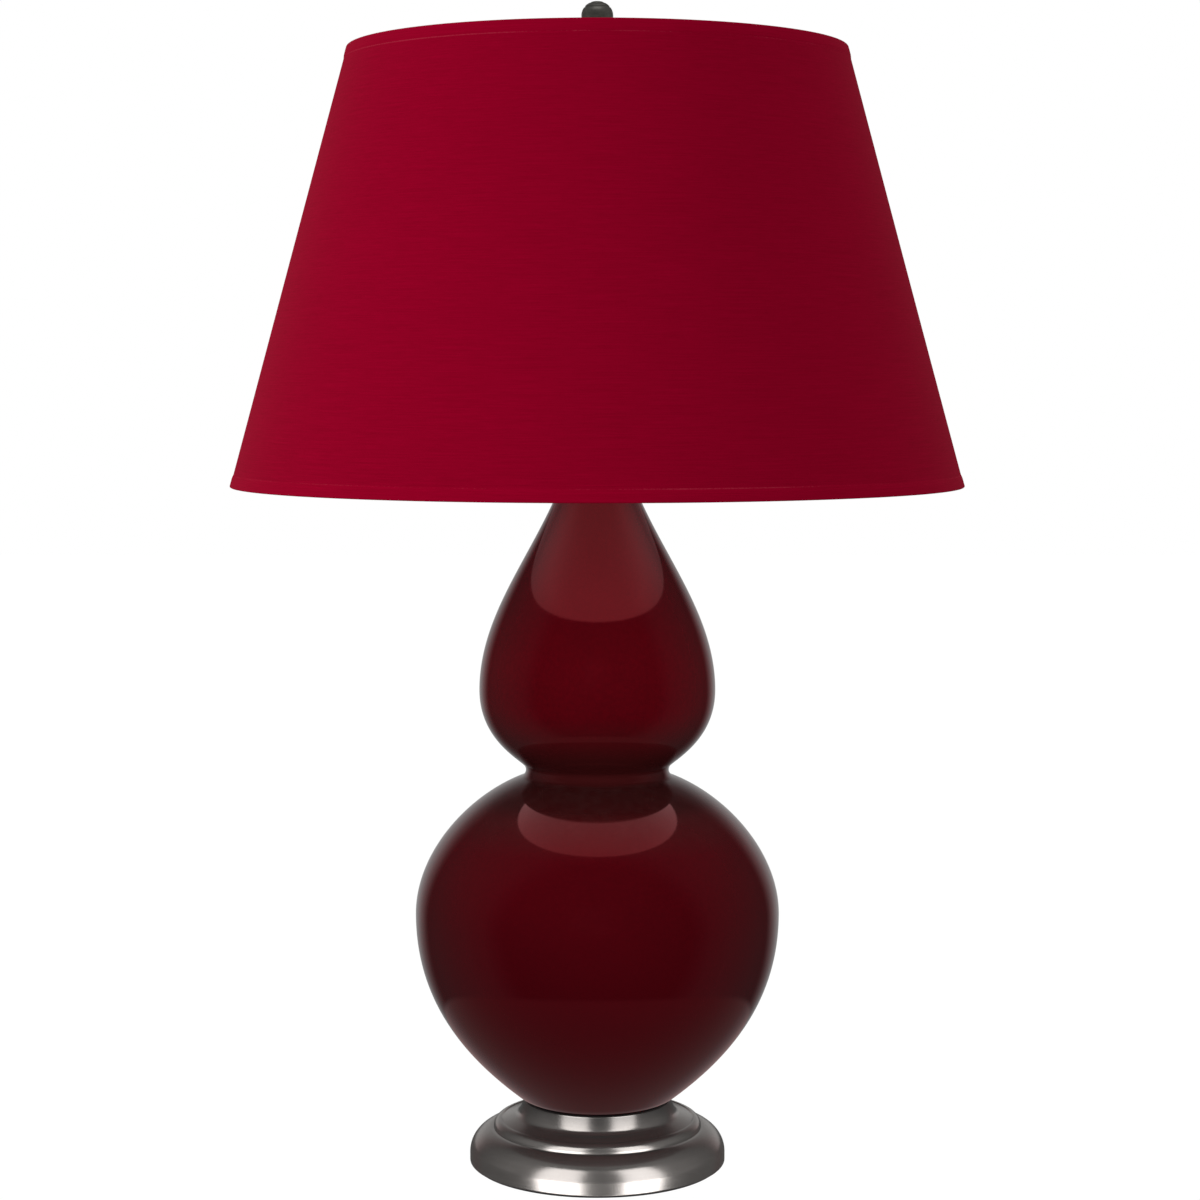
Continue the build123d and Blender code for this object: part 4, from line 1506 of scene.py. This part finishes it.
# ------------------------------------------------------------------ socket and bulb
@dataclass
class Socket:
    """Brass socket with its cap and turning key, and what shows of its other parts."""

    wall: float = 0.8 * MM
    bore: float = 4.95 * MM
    collar: Pair = (7.1 * MM, 5.6 * MM)           # radius and height of the cap's narrow end
    neck: Pair = (9.0 * MM, 7.2 * MM)
    bell: Pair = (15.0 * MM, 11.2 * MM)
    rim: float = 13.6 * MM
    key_knob: float = 4.6 * MM
    key_length: float = 12.0 * MM
    key_shaft: float = 1.7 * MM
    key_ribs: int = 18
    rib_depth: float = 0.07                       # share of the knob's radius
    shaft_run: Pair = (-14 * MM, 1 * MM)          # ends of the shaft, from the knob's back
    sharp: float = 35.0

    def cap(self) -> Surface:
        """Bell-shaped cap, thin at its open end.

        Returns:
            The cap's surface.
        """
        bottom, top, edge = low("socket_cap"), high("socket_cap"), reach("socket_cap")
        inner = edge - self.wall
        outside = [
            (self.bore, bottom),
            (self.collar[0], bottom),
            (self.collar[0], bottom + self.collar[1]),
            (self.neck[0], bottom + self.neck[1]),
            (self.bell[0], bottom + self.bell[1]),
            (edge, bottom + self.rim),
            (edge, top),
        ]
        inside = [
            (edge, top),
            (inner, top),
            (inner, bottom + 14.0 * MM),
            (14.6 * MM, bottom + 12 * MM),
            (self.bore, bottom + 7 * MM),
        ]
        profile = joined(rounded(outside, 2.0 * MM), rounded(inside, 1.0 * MM))
        return turned(profile, SMALL_SEGMENTS, closed=True)

    def ribs(self, angle: np.ndarray, radius: np.ndarray, height: np.ndarray) -> np.ndarray:
        """Shallow ribs round the knob: radius * (1 - depth * (1 - cos(ribs * angle)) / 2)."""
        return radius * (1 - self.rib_depth * (0.5 - 0.5 * np.cos(self.key_ribs * angle)))

    def key(self) -> Surface:
        """Ribbed knob on its shaft, along -Y.

        Returns:
            The key's surface, in place.
        """
        lower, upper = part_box("switch_key")
        knob = rounded(block(0, self.key_knob, 0, self.key_length), 0.9 * MM)
        shaft = np.array(block(0, self.key_shaft, *self.shaft_run))
        shape = together(turned(knob, 8 * self.key_ribs, wobble=self.ribs), turned(shaft, 32))
        return moved(shape, (0, lower.y + self.key_length, (lower.z + upper.z) / 2), TO_FRONT)

    def build(self, shop: Workshop) -> None:
        """Makes the socket's pieces.

        Args:
            shop: Where the pieces are made.
        """
        shop.piece("socket_bell", self.cap(), Look.BRASS, "lamp", ("socket_cap",), self.sharp)
        shop.piece("key_knob", self.key(), Look.BLACK_PLASTIC, "switch_key", ("switch_key",), self.sharp)
        shop.dress(Look.BRASS, "socket_shell", "screw_shell", "centre_contact", "terminal_screws")
        shop.dress(Look.CARD, "insulating_sleeve")
        shop.dress(Look.BLACK_PLASTIC, "socket_core")


@dataclass
class Bulb:
    """Frosted bulb with a threaded base."""

    radius: float = 30.0 * MM
    neck: float = 14.5 * MM
    join_angle: float = -35.0                     # where the neck's curve meets the sphere
    handles: Pair = (14 * MM, 12 * MM)
    screw: float = 13.0 * MM
    thread: Pair = (0.9 * MM, 3.6 * MM)           # depth and pitch
    skirt: Pair = (4.0 * MM, 0.4 * MM)            # height of the plain skirt, and how far it flares
    lap: float = 0.2 * MM
    tip_curve: Pair = (0.7, 0.4 * MM)

    def globe(self) -> Surface:
        """Glass envelope: a curve from the neck into most of a sphere.

        Returns:
            The envelope's surface.
        """
        bottom, top = low("bulb_globe"), high("bulb_globe")
        dome = arc((0.0, top - self.radius), self.radius, self.join_angle, 90 - self.join_angle, 56)
        dome[-1][0] = 0.0
        turn = math.radians(self.join_angle)
        ahead = np.array([-math.sin(turn), math.cos(turn)])
        lower, upper = self.handles
        handles = [(self.neck, bottom + lower), dome[0] - ahead * upper]
        neck = bezier([(self.neck, bottom), *handles, dome[0]], 28)
        return turned(joined((0.0, bottom), neck, dome), SMALL_SEGMENTS)

    def base(self) -> Surface:
        """Screw thread with a plain skirt over it.

        Returns:
            The base's surface.
        """
        bottom, top = low("bulb_screw_base"), high("bulb_screw_base")
        height, flare = self.skirt
        start = top - height - self.lap
        thread = helical(self.screw, *self.thread, bottom, top - height, SMALL_SEGMENTS)
        corners = [(0, start), (self.screw - flare, start), (self.screw + flare, top), (0, top)]
        skirt = rounded(corners, 0.5 * MM)
        return together(thread, turned(skirt, SMALL_SEGMENTS))

    def tip(self) -> Surface:
        """Drop of solder, flat on top.

        Returns:
            The drop's surface.
        """
        bottom, top, edge = low("bulb_tip"), high("bulb_tip"), reach("bulb_tip")
        share, rise = self.tip_curve
        drop = bezier([(0, bottom), (share * edge, bottom), (edge, bottom + rise), (edge, top)], 12)
        return turned(joined(drop, (0, top)), TINY_SEGMENTS)

    def build(self, shop: Workshop) -> None:
        """Makes the bulb.

        Args:
            shop: Where the pieces are made.
        """
        shop.piece("bulb_envelope", self.globe(), Look.FROSTED_GLASS, "bulb", ("bulb_globe",))
        shop.piece("bulb_thread", self.base(), Look.ZINC, "bulb", ("bulb_screw_base",))
        shop.piece("solder_tip", self.tip(), Look.SOLDER, "bulb", ("bulb_tip",))
        shop.dress(Look.DARK_GLASS, "bulb_insulator")


# ------------------------------------------------------------------ shade
@dataclass
class Shade:
    """Tapered shade: cloth on a white backing, folded hems, wire rings and a three-armed spider."""

    skin: float = 0.6 * MM
    liner: float = 0.9 * MM
    wave: float = 0.12 * MM
    hem: float = 0.5 * MM
    hem_height: float = 8.0 * MM
    hem_taper: float = 2.4 * MM
    hem_lip: float = 0.7 * MM
    hem_room: float = 0.3 * MM
    hem_clear: float = 0.02 * MM
    hem_sharp: float = 60.0
    ring: float = 1.6 * MM
    ring_clear: float = 0.1 * MM
    wire_sides: int = 14
    arms: int = 3
    arm: float = 1.6 * MM
    arm_bend: float = 12.0 * MM
    arm_round: float = 5.0 * MM
    arm_drop: float = 0.7 * MM                    # how far an arm's end lies under the top ring
    hub: float = 11.0 * MM
    hub_bore: float = 3.25 * MM
    hub_half: float = 1.0 * MM
    seam: float = 9.0 * MM
    seam_thick: Pair = (0.05 * MM, 0.42 * MM)     # least thickness, and what its middle adds
    seam_grid: tuple[int, int] = (60, 9)

    def __post_init__(self) -> None:
        """Reads the cone's ends from the frame."""
        self.bottom, self.top = low("shade_skin"), high("shade_skin")
        mesh = bpy.data.objects["shade_skin"].data
        points = np.array([vertex.co for vertex in mesh.vertices])
        radius = np.hypot(points[:, 0], points[:, 1])
        self.bottom_radius = float(radius.max())
        self.top_radius = float(radius[points[:, 2] > self.top - 0.01 * MM].max())

    def cone(self, height: float, inset: float = 0.0) -> float:
        """Radius at a height, moved in from the cloth's outer face."""
        share = (self.top - height) / (self.top - self.bottom)
        return self.top_radius + share * (self.bottom_radius - self.top_radius) - inset

    def wall(self, inset: float, thick: float, rows: int) -> np.ndarray:
        """Closed profile of a thin wall along the cone.

        Args:
            inset: Distance of its outer face from the cloth's outer face.
            thick: Thickness.
            rows: Points along each face.

        Returns:
            The closed profile, outer face upwards and inner face downwards.
        """
        up = np.linspace(self.bottom, self.top, rows)
        down = up[::-1]
        outer = np.stack([self.cone(up, inset), up], axis=1)
        return np.vstack([outer, np.stack([self.cone(down, inset + thick), down], axis=1)])

    def waves(self, angle: np.ndarray, radius: np.ndarray, height: np.ndarray) -> np.ndarray:
        """Cloth laid by hand: radius + wave * two slow sines of the angle that turn with height."""
        slow = np.sin(3 * angle + 9 * height) + 0.6 * np.sin(7 * angle - 14 * height + 1.3)
        return radius + self.wave * slow

    def hem_profile(self, edge: float, inward: int) -> np.ndarray:
        """Folded edge: band outside, a round turn over the rim and a lip inside.

        Args:
            edge: Height of the rim.
            inward: 1 where the band goes up from the rim, -1 where it goes down.

        Returns:
            The closed profile.
        """
        depth = self.skin + self.liner + 2 * self.ring + self.hem_room
        band, lip = edge + inward * self.hem_height, edge + inward * self.hem_lip
        full = band - inward * self.hem_taper
        over = edge - inward * self.hem
        insets = [
            (0.0, band),
            (-self.hem, full),
            (-self.hem, edge),
            (0.3 * self.hem, over),
            (depth, over),
            (depth + self.hem, edge),
            (depth + self.hem, lip),
            (depth, lip),
            (depth, edge),
            (self.hem_clear, edge),
            (self.hem_clear, band),
        ]
        return rounded([(self.cone(height, inset), height) for inset, height in insets], 1.4 * MM, 6)

    def ring_radius(self, height: float) -> float:
        """Radius of the wire ring inside the liner.

        Args:
            height: Height of the ring.

        Returns:
            The radius of its middle line.
        """
        slope = (self.bottom_radius - self.top_radius) / (self.top - self.bottom)
        clear = self.ring / math.cos(math.atan(slope)) + self.ring_clear
        return self.cone(height, self.skin + self.liner) - clear

    def wire_ring(self, height: float) -> Surface:
        """Ring of round wire: a circle of the wire's radius carried round the shade.

        Args:
            height: Height of the ring.

        Returns:
            The ring's surface.
        """
        angle = np.linspace(0, TAU, SEGMENTS, endpoint=False)
        path = carried_round(self.ring_radius(height), angle, np.full(SEGMENTS, height))
        return tube(path, ALONG_Z, self.ring, self.wire_sides, closed=True)

    def spider(self) -> Surface:
        """Top ring, three bent arms and a drilled hub.

        Returns:
            The spider's surface.
        """
        ring_height = self.top - self.ring - self.hem
        hub_height = low("shade_spider") + self.arm
        outer, end = self.ring_radius(ring_height), ring_height - self.arm_drop
        corners = [
            (self.hub - 1.5 * MM, hub_height),
            (outer - 2 * self.arm_bend, hub_height),
            (outer - self.arm_bend, end),
            (outer, end),
        ]
        path = upright(filleted_path(np.array(corners), [self.arm_round, self.arm_round]))
        arm = tube(path, ALONG_Y, self.arm, self.wire_sides)
        hub = turned(washer(self.hub_bore, self.hub, hub_height, self.hub_half, 0.4 * MM), 64, closed=True)
        turns = [about_z(90 + 360 / self.arms * number) for number in range(self.arms)]
        return together(self.wire_ring(ring_height), hub, *(moved(arm, (0, 0, 0), turn) for turn in turns))

    def seam_strip(self) -> Surface:
        """Lapped seam at the back: a strip of the cone's outer face, square to +Y.

        Its thickness is the least one plus fade = 1 - |x / half width| to the sixth power.

        Returns:
            The strip's surface, with a UV map in metres.
        """
        rows, columns = self.seam_grid
        height = np.linspace(low("shade_back_seam"), high("shade_back_seam"), rows)
        x, z = np.meshgrid(np.linspace(-self.seam / 2, self.seam / 2, columns), height)
        least, more = self.seam_thick
        fade = 1 - np.abs(x / (self.seam / 2)) ** 6
        radius = self.cone(z) + least + more * fade
        outer = np.stack([x, np.sqrt(radius**2 - x**2), z], axis=-1).reshape(-1, 3)
        back = np.stack([x, np.sqrt(self.cone(z) ** 2 - x**2), z], axis=-1).reshape(-1, 3)
        face, size = grid_faces(rows, columns, False, False), rows * columns
        low_rim, high_rim = np.arange(columns), size - columns + np.arange(columns - 2, -1, -1)
        right_rim, left_rim = np.arange(1, rows) * columns + columns - 1, np.arange(rows - 2, 0, -1) * columns
        rim = np.concatenate([low_rim, right_rim, high_rim, left_rim])
        following = np.roll(rim, -1)
        sides = np.stack([rim, following, following + size, rim + size], axis=1)
        faces = np.vstack([face[:, ::-1], face + size, sides])
        from_side = 0.7                           # keeps the seam's slubs apart from the cloth's
        uv = np.tile(np.stack([x.ravel() + from_side, z.ravel()], axis=1), (2, 1))
        return Surface(np.vstack([outer, back]), faces.tolist(), uv[faces.ravel()])

    def cloth(self, shop: Workshop) -> None:
        """Makes the stretched cloth.

        Args:
            shop: Where the piece is made.
        """
        surface = turned(self.wall(0.0, self.skin, 40), CLOTH_SEGMENTS, closed=True, wobble=self.waves)
        skin = shop.piece("shade_cloth", surface, Look.CLOTH, "shade", ("shade_skin",))

    def build(self, shop: Workshop) -> None:
        """Makes the shade.

        Args:
            shop: Where the pieces are made.
        """
        self.cloth(shop)
        liner = turned(self.wall(self.skin, self.liner, 24), closed=True)
        shop.piece("shade_backing", liner, Look.STYRENE, "shade", ("shade_liner",))
        for edge, inward, label in ((self.top, -1, "top"), (self.bottom, 1, "bottom")):
            profile = self.hem_profile(edge, inward)[::inward]
            hem = turned(profile, CLOTH_SEGMENTS, closed=True, wobble=self.waves)
            shop.piece(f"{label}_hem", hem, Look.HEM, "shade", (f"shade_{label}_hem",), self.hem_sharp)
        shop.piece("spider_frame", self.spider(), Look.ENAMEL, "shade", ("shade_spider",))
        lower_ring = self.wire_ring(self.bottom + self.ring + self.hem)
        shop.piece("lower_ring", lower_ring, Look.ENAMEL, "shade", ("shade_bottom_ring",))
        shop.piece("back_seam", self.seam_strip(), Look.CLOTH, "shade", ("shade_back_seam",))


# ------------------------------------------------------------------ finial
@dataclass
class Finial:
    """Turned knob with a ringed dome."""

    radius: float = 10.6 * MM
    height: float = 9.5 * MM
    flat: float = 2.4 * MM
    rings: Pair = (0.3, 0.6)                      # shares of the quarter turn from top to side
    ring_width: float = 0.03
    groove: float = 0.45 * MM
    cup: float = 11.5 * MM
    cup_handles: tuple[float, Pair] = (5 * MM, (8.6 * MM, 1.6 * MM))
    neck: float = 4.8 * MM
    neck_bead: Pair = (0.2 * MM, 0.6 * MM)        # how far it stands out, and its height
    base: float = 7.5 * MM
    base_heights: Pair = (3 * MM, 7 * MM)
    bore: float = 3.2 * MM
    bore_depth: float = 16 * MM
    sharp: float = 35.0

    def dome(self, top: float) -> np.ndarray:
        """Quarter ellipse (R sin t, top - h + h cos t), R and h smaller by a bell at each ring.

        Args:
            top: Height of its top.

        Returns:
            The profile from near the axis out to the widest place.
        """
        quarter = math.pi / 2
        share = np.linspace(math.asin(self.flat / self.radius) / quarter, 1, 72)
        turn = share * quarter
        dip = self.groove * sum(np.exp(-(((share - ring) / self.ring_width) ** 2)) for ring in self.rings)
        height = top - self.height + (self.height - dip) * np.cos(turn)
        return np.stack([(self.radius - dip) * np.sin(turn), height], axis=1)

    def profile(self) -> np.ndarray:
        """Dome, cup, neck and flared foot, and the bore from below.

        Returns:
            The profile, from the bore's end round to the top.
        """
        top, bottom = high("finial"), low("finial")
        widest = top - self.height
        neck = widest - self.cup
        stand, rise = self.neck_bead
        bead = (self.neck + stand, neck)
        drop, (handle_radius, handle_height) = self.cup_handles
        handles = [(self.radius, widest - drop), (handle_radius, neck + handle_height)]
        cup = bezier([(self.radius, widest), *handles, bead], 24)
        low_foot, high_foot = self.base_heights
        stem = [
            bead,
            (self.neck, neck - rise),
            (self.neck, bottom + high_foot),
            (self.base, bottom + low_foot),
            (self.base, bottom),
            (self.bore, bottom),
            (self.bore, bottom + self.bore_depth),
            (0, bottom + self.bore_depth),
        ]
        return joined((0.0, top), self.dome(top), cup, rounded(stem, 0.5 * MM))[::-1]

    def build(self, shop: Workshop) -> None:
        """Makes the finial.

        Args:
            shop: Where the pieces are made.
        """
        knob = turned(self.profile(), SMALL_SEGMENTS)
        shop.piece("turned_finial", knob, Look.DARK_METAL, "finial", ("finial",), self.sharp)


# ------------------------------------------------------------------ studio
@dataclass(frozen=True)
class SoftBox:
    """Soft light: where it stands, what it faces, its size and brightness, and what it lights.

    Attributes:
        radiance: Brightness of its face, on the scale where white paper in the picture is 1.
        only: Pieces that it lights, or none for all.
        blockers: Pieces that shade it, or none for all.
        grid: Cosines to its axis between which it dims, and the share that is left, or None.
    """

    name: str
    place: Triple
    aim: Triple
    size: Pair
    radiance: float
    round: bool = False
    diffuse: bool = True
    gloss: bool = True
    only: tuple[str, ...] = ()
    blockers: tuple[str, ...] = ()
    colour: Triple = (1.0, 1.0, 1.0)
    grid: Triple | None = None


HARP = ("harp_wire", "harp_saddle", "left_sleeve", "right_sleeve", "swivel_stud")
METAL = ("spun_base", "mouth_cap", "neck_turning", *HARP, "socket_bell", "socket_shell", "bulb_thread")
GLAZED = ("glazed_gourd",)
INNER_SHADE = ("shade_backing", "spider_frame", "lower_ring")
SHADE = ("shade_cloth", "top_hem", "bottom_hem", "back_seam", *INNER_SHADE)
INSIDE = (*INNER_SHADE, "bulb_envelope", "harp_wire", "socket_bell", "socket_shell")
UNMIRRORED = (
    *("shade_cloth", "bottom_hem", "back_seam", "shade_backing", "lower_ring"),
    *("spun_base", "felt_pad", "base_weight", "base_washer", "base_nut"),
)
SOFT_BOXES = (
    SoftBox("left_key", (-2.2, -1.25, 1.0), (0, 0, 0.5), (1.0, 1.0), 7.5, gloss=False, only=SHADE),
    SoftBox("gourd_front", (-0.15, -2.4, 0.8), (0, 0, 0.3), (1.0, 1.0), 17.0, gloss=False, only=GLAZED),
    SoftBox(
        "shade_glow", (0, 0.012, 0.505), (0, 0.012, 0), (0.455, 0.455), 1.36, round=True, diffuse=False,
        only=GLAZED, blockers=GLAZED, colour=(1.0, 0.66, 0.68), grid=(0.42, 0.64, 0.28),
    ),
    SoftBox(
        "inner_fill", (0, 0, 0.15), (0, 0, 1), (0.5, 0.5), 2.2, round=True, gloss=False,
        only=INSIDE, blockers=INSIDE,
    ),
    SoftBox("finial_top", (0, -0.25, 1.3), (0, 0, 0.77), (0.5, 0.3), 1.6, only=("turned_finial",)),
    SoftBox("left_box", (-0.604, -0.895, 0.3), (0, 0, 0.3), (0.80, 2.1), 2.1, only=METAL, blockers=METAL),
    SoftBox("right_box", (0.694, -0.827, 0.3), (0, 0, 0.3), (0.70, 2.1), 2.1, only=METAL, blockers=METAL),
)


@dataclass
class Studio:
    """Camera, pale floor, world and soft lights.

    The picture's background is white, but gloss sees other surroundings. Their ramps run over
    ahead, how far a ray goes towards +Y, and over rise, how far it goes up, both from -1 to 1.
    """

    distance: float = 1.834
    eye: float = 0.5456
    tilt: float = 4.92
    side_step: float = 1.8 * MM
    focal_pixels: float = 2720.0
    frame_pixels: float = 1200.0
    sensor: float = 36.0
    ambient: float = 0.67
    floor_half: float = 6.0
    floor_white: float = 1.03
    floor_glow: float = 0.97                      # share of light of its own that the camera sees
    table_radius: float = 0.285
    table_edge: float = 0.01
    table_ramp: Ramp = (0.60, 0.84, 0.19, 0.30)
    table_tint: Triple = (1.15, 0.80, 0.78)
    metal_gloss: float = 0.08
    metal_blur: float = 0.08                      # half the soft edge of a mirrored box, in radians
    world_gloss: tuple[float, float, float, float, float] = (0.02, 0.15, 0.06, 0.20, 0.45)
    front_run: Pair = (-0.5, -0.25)
    gap_run: Pair = (0.0, 0.6)
    edge_run: Pair = (0.68, 0.76)
    back_run: Pair = (0.74, 0.88)
    level_ramp: Ramp = (0.16, 0.45, 1.0, 0.3)
    blush_tint: Triple = (1.0, 0.76, 0.77)
    blush_start: Pair = (0.58, 0.68)
    blush_end: Pair = (0.76, 0.92)
    steep_ramp: Ramp = (0.78, 0.93, 1.0, 0.72)    # dims a gridded light straight under it
    white: Triple = (1.0, 1.0, 1.0)
    grey: Triple = (0.5, 0.5, 0.5)

    def camera(self) -> None:
        """Places the camera at the photograph's distance, height and tilt."""
        data = bpy.data.cameras.new("camera")
        data.sensor_width = self.sensor
        data.lens = self.focal_pixels / self.frame_pixels * self.sensor
        made = shown("camera", data)
        made.location = (self.side_step, -self.distance, self.eye)
        made.rotation_euler = (math.radians(90 - self.tilt), 0, 0)
        bpy.context.scene.camera = made

    @staticmethod
    def seen(w: Wiring, rays: bpy.types.NodeOutputs) -> Signal:
        """Whether a ray comes from the camera, straight or through glass."""
        return w.math("MAXIMUM", rays["Is Camera Ray"], rays["Is Transmission Ray"])

    def surroundings(self, w: Wiring, ahead: Signal, rise: Signal) -> Signal:
        """Brightness that gloss sees: dark in front, a paler wall on each side and pale behind.

        Args:
            w: Wiring of the material or world.
            ahead: How far the ray goes towards +Y.
            rise: How far it goes up.

        Returns:
            The brightness.
        """
        front, side, gap, edge, back = self.world_gloss
        near_wall = w.remap(ahead, *self.front_run, front, side)
        walls = w.plus(near_wall, w.remap(ahead, *self.gap_run, 0.0, gap - side))
        near_rim = w.remap(ahead, *self.edge_run, 0.0, edge - gap)
        rim = w.plus(near_rim, w.remap(ahead, *self.back_run, 0.0, back - edge))
        level = w.remap(w.math("ABSOLUTE", rise), *self.level_ramp)
        return w.plus(walls, w.times(rim, level))

    def blushed(self, w: Wiring, ahead: Signal, gloss: Signal, tint: Signal | Triple) -> Signal:
        """Tint with a pink band for gloss, between the walls and the pale back.

        Args:
            w: Wiring of the material or world.
            ahead: How far the ray goes towards +Y.
            gloss: Whether it is a gloss ray.
            tint: Tint elsewhere.

        Returns:
            The tint.
        """
        band = w.times(w.remap(ahead, *self.blush_start, 0.0, 1.0), w.remap(ahead, *self.blush_end, 1.0, 0.0))
        return w.mix(w.times(band, gloss), tint, self.blush_tint)

    def mirrored_boxes(self, w: Wiring, azimuth: Signal) -> Signal:
        """Brightness of the metal's soft boxes, carried on below the floor's level.

        Args:
            w: The floor's wiring.
            azimuth: Direction of the ray round the lamp.

        Returns:
            The brightness.
        """
        total = self.metal_gloss
        for box in SOFT_BOXES:
            if box.only is METAL:
                x, y, _ = box.place
                half = math.atan(box.size[0] / 2 / math.hypot(x, y))
                aside = w.gap(azimuth, math.atan2(x, -y))
                run = (half - self.metal_blur, half + self.metal_blur)
                total = w.plus(total, w.remap(aside, *run, box.radiance, 0.0))
        return total

    def floor_material(self) -> bpy.types.Material:
        """White floor to the camera, with a trace of shadow, and a grey table to gloss.

        Gloss rays that start lower than the base's top come from the base. They see the metal's
        soft boxes. From below, the floor is clear.

        Returns:
            The material.
        """
        material = bpy.data.materials.new("pale_floor")
        w = wired(material)
        rays = w.node("LightPath").outputs
        seen, gloss = self.seen(w, rays), rays["Is Glossy Ray"]
        geometry = w.node("NewGeometry").outputs
        radius = w.node("VectorMath", {"operation": "LENGTH"}, in_0=geometry["Position"]).outputs["Value"]
        back_x, back_y, back_z = w.split(geometry["Incoming"])
        ahead = w.times(back_y, -1.0)
        azimuth = w.math("ARCTAN2", w.times(back_x, -1.0), back_y)
        table_run = (self.table_radius - self.table_edge, self.table_radius + self.table_edge)
        beyond = w.remap(radius, *table_run, 0.0, 1.0)
        near = w.rest(beyond)
        table = w.times(near, w.remap(ahead, *self.table_ramp))
        far = w.plus(table, w.times(beyond, self.surroundings(w, ahead, back_z)))
        from_base = w.math("LESS_THAN", w.times(rays["Ray Length"], back_z), high("base_plinth"))
        from_above = w.rest(from_base)
        mirrored = w.plus(w.times(from_base, self.mirrored_boxes(w, azimuth)), w.times(from_above, far))
        strength = w.plus(w.times(seen, self.floor_white), w.times(gloss, mirrored))
        tint = w.mix(w.times(w.times(near, from_above), gloss), self.white, self.table_tint)
        tint = self.blushed(w, ahead, gloss, tint)
        paint = w.node("BsdfDiffuse", Color=self.grey).outputs[0]
        glow = w.node("Emission", Color=tint, Strength=strength).outputs[0]
        share = w.math("MAXIMUM", w.times(seen, self.floor_glow), gloss)
        top = w.node("MixShader", in_0=share, in_1=paint, in_2=glow).outputs[0]
        clear = w.node("BsdfTransparent").outputs[0]
        both = w.node("MixShader", in_0=geometry["Backfacing"], in_1=top, in_2=clear).outputs[0]
        w.node("OutputMaterial", Surface=both)
        return material

    def floor(self) -> None:
        """Adds the floor."""
        half = self.floor_half
        mesh = bpy.data.meshes.new("floor")
        corners = [(-half, -half, 0), (half, -half, 0), (half, half, 0), (-half, half, 0)]
        mesh.from_pydata(corners, [], [(0, 1, 2, 3)])
        mesh.materials.append(self.floor_material())
        made = shown("floor", mesh)

    def world(self) -> None:
        """White to the camera, even grey to diffuse light, and the surroundings to gloss."""
        world = bpy.data.worlds.new("studio")
        bpy.context.scene.world = world
        w = wired(world)
        rays = w.node("LightPath").outputs
        seen, gloss = self.seen(w, rays), rays["Is Glossy Ray"]
        _, ahead, up = w.split(w.node("TexCoord").outputs["Generated"])
        plain = w.times(w.rest(gloss), self.ambient)
        mirrored = w.times(gloss, self.surroundings(w, ahead, up))
        strength = w.math("MAXIMUM", w.plus(mirrored, plain), seen)
        glow = w.node("Background", Color=self.blushed(w, ahead, gloss, self.white), Strength=strength)
        w.node("OutputWorld", Surface=glow.outputs[0])

    def grid_on(self, data: bpy.types.Light, grid: Triple) -> None:
        """Dims a light away from its axis, and a little straight under it.

        Args:
            data: The light.
            grid: Cosines between which it dims, and the share that is left.
        """
        w = wired(data)
        along = w.math("ABSOLUTE", w.split(w.node("NewGeometry").outputs["Incoming"])[2])
        strength = w.times(w.remap(along, *grid, 1.0), w.remap(along, *self.steep_ramp))
        glow = w.node("Emission", Color=self.white, Strength=strength)
        w.node("OutputLight", Surface=glow.outputs[0])

    def soft_box(self, box: SoftBox) -> None:
        """Adds a soft light.

        Args:
            box: What the light is and what it lights.
        """
        data = bpy.data.lights.new(box.name, "AREA")
        data.shape = "ELLIPSE" if box.round else "RECTANGLE"
        data.size, data.size_y = box.size
        data.color = box.colour
        if box.grid:
            self.grid_on(data, box.grid)
        area = box.size[0] * box.size[1] * (math.pi / 4 if box.round else 1)
        data.energy = box.radiance * math.pi * area
        made = shown(box.name, data)
        made.location = box.place
        made.rotation_euler = (Vector(box.aim) - Vector(box.place)).to_track_quat("-Z", "Y").to_euler()
        made.visible_camera = False
        made.visible_diffuse = box.diffuse
        made.visible_glossy = box.gloss
        for label, names in (("receiver_collection", box.only), ("blocker_collection", box.blockers)):
            if names:
                group = bpy.data.collections.new(f"{box.name}_{label}")
                for name in names:
                    group.objects.link(bpy.data.objects[name])
                setattr(made.light_linking, label, group)

    def build(self) -> None:
        """Sets the scene up."""
        bpy.context.scene.view_settings.view_transform = "Standard"
        self.camera()
        self.floor()
        self.world()
        for box in SOFT_BOXES:
            self.soft_box(box)
        for name in UNMIRRORED:
            bpy.data.objects[name].visible_glossy = False


def main() -> None:
    """Loads the frame, builds the lamp's pieces and the studio."""
    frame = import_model()
    shop = Workshop(frame)
    for part in (Base, Gourd, Harp, Socket, Bulb, Shade, Finial):
        part().build(shop)
    Studio().build()


if __name__ == "__main__":
    main()
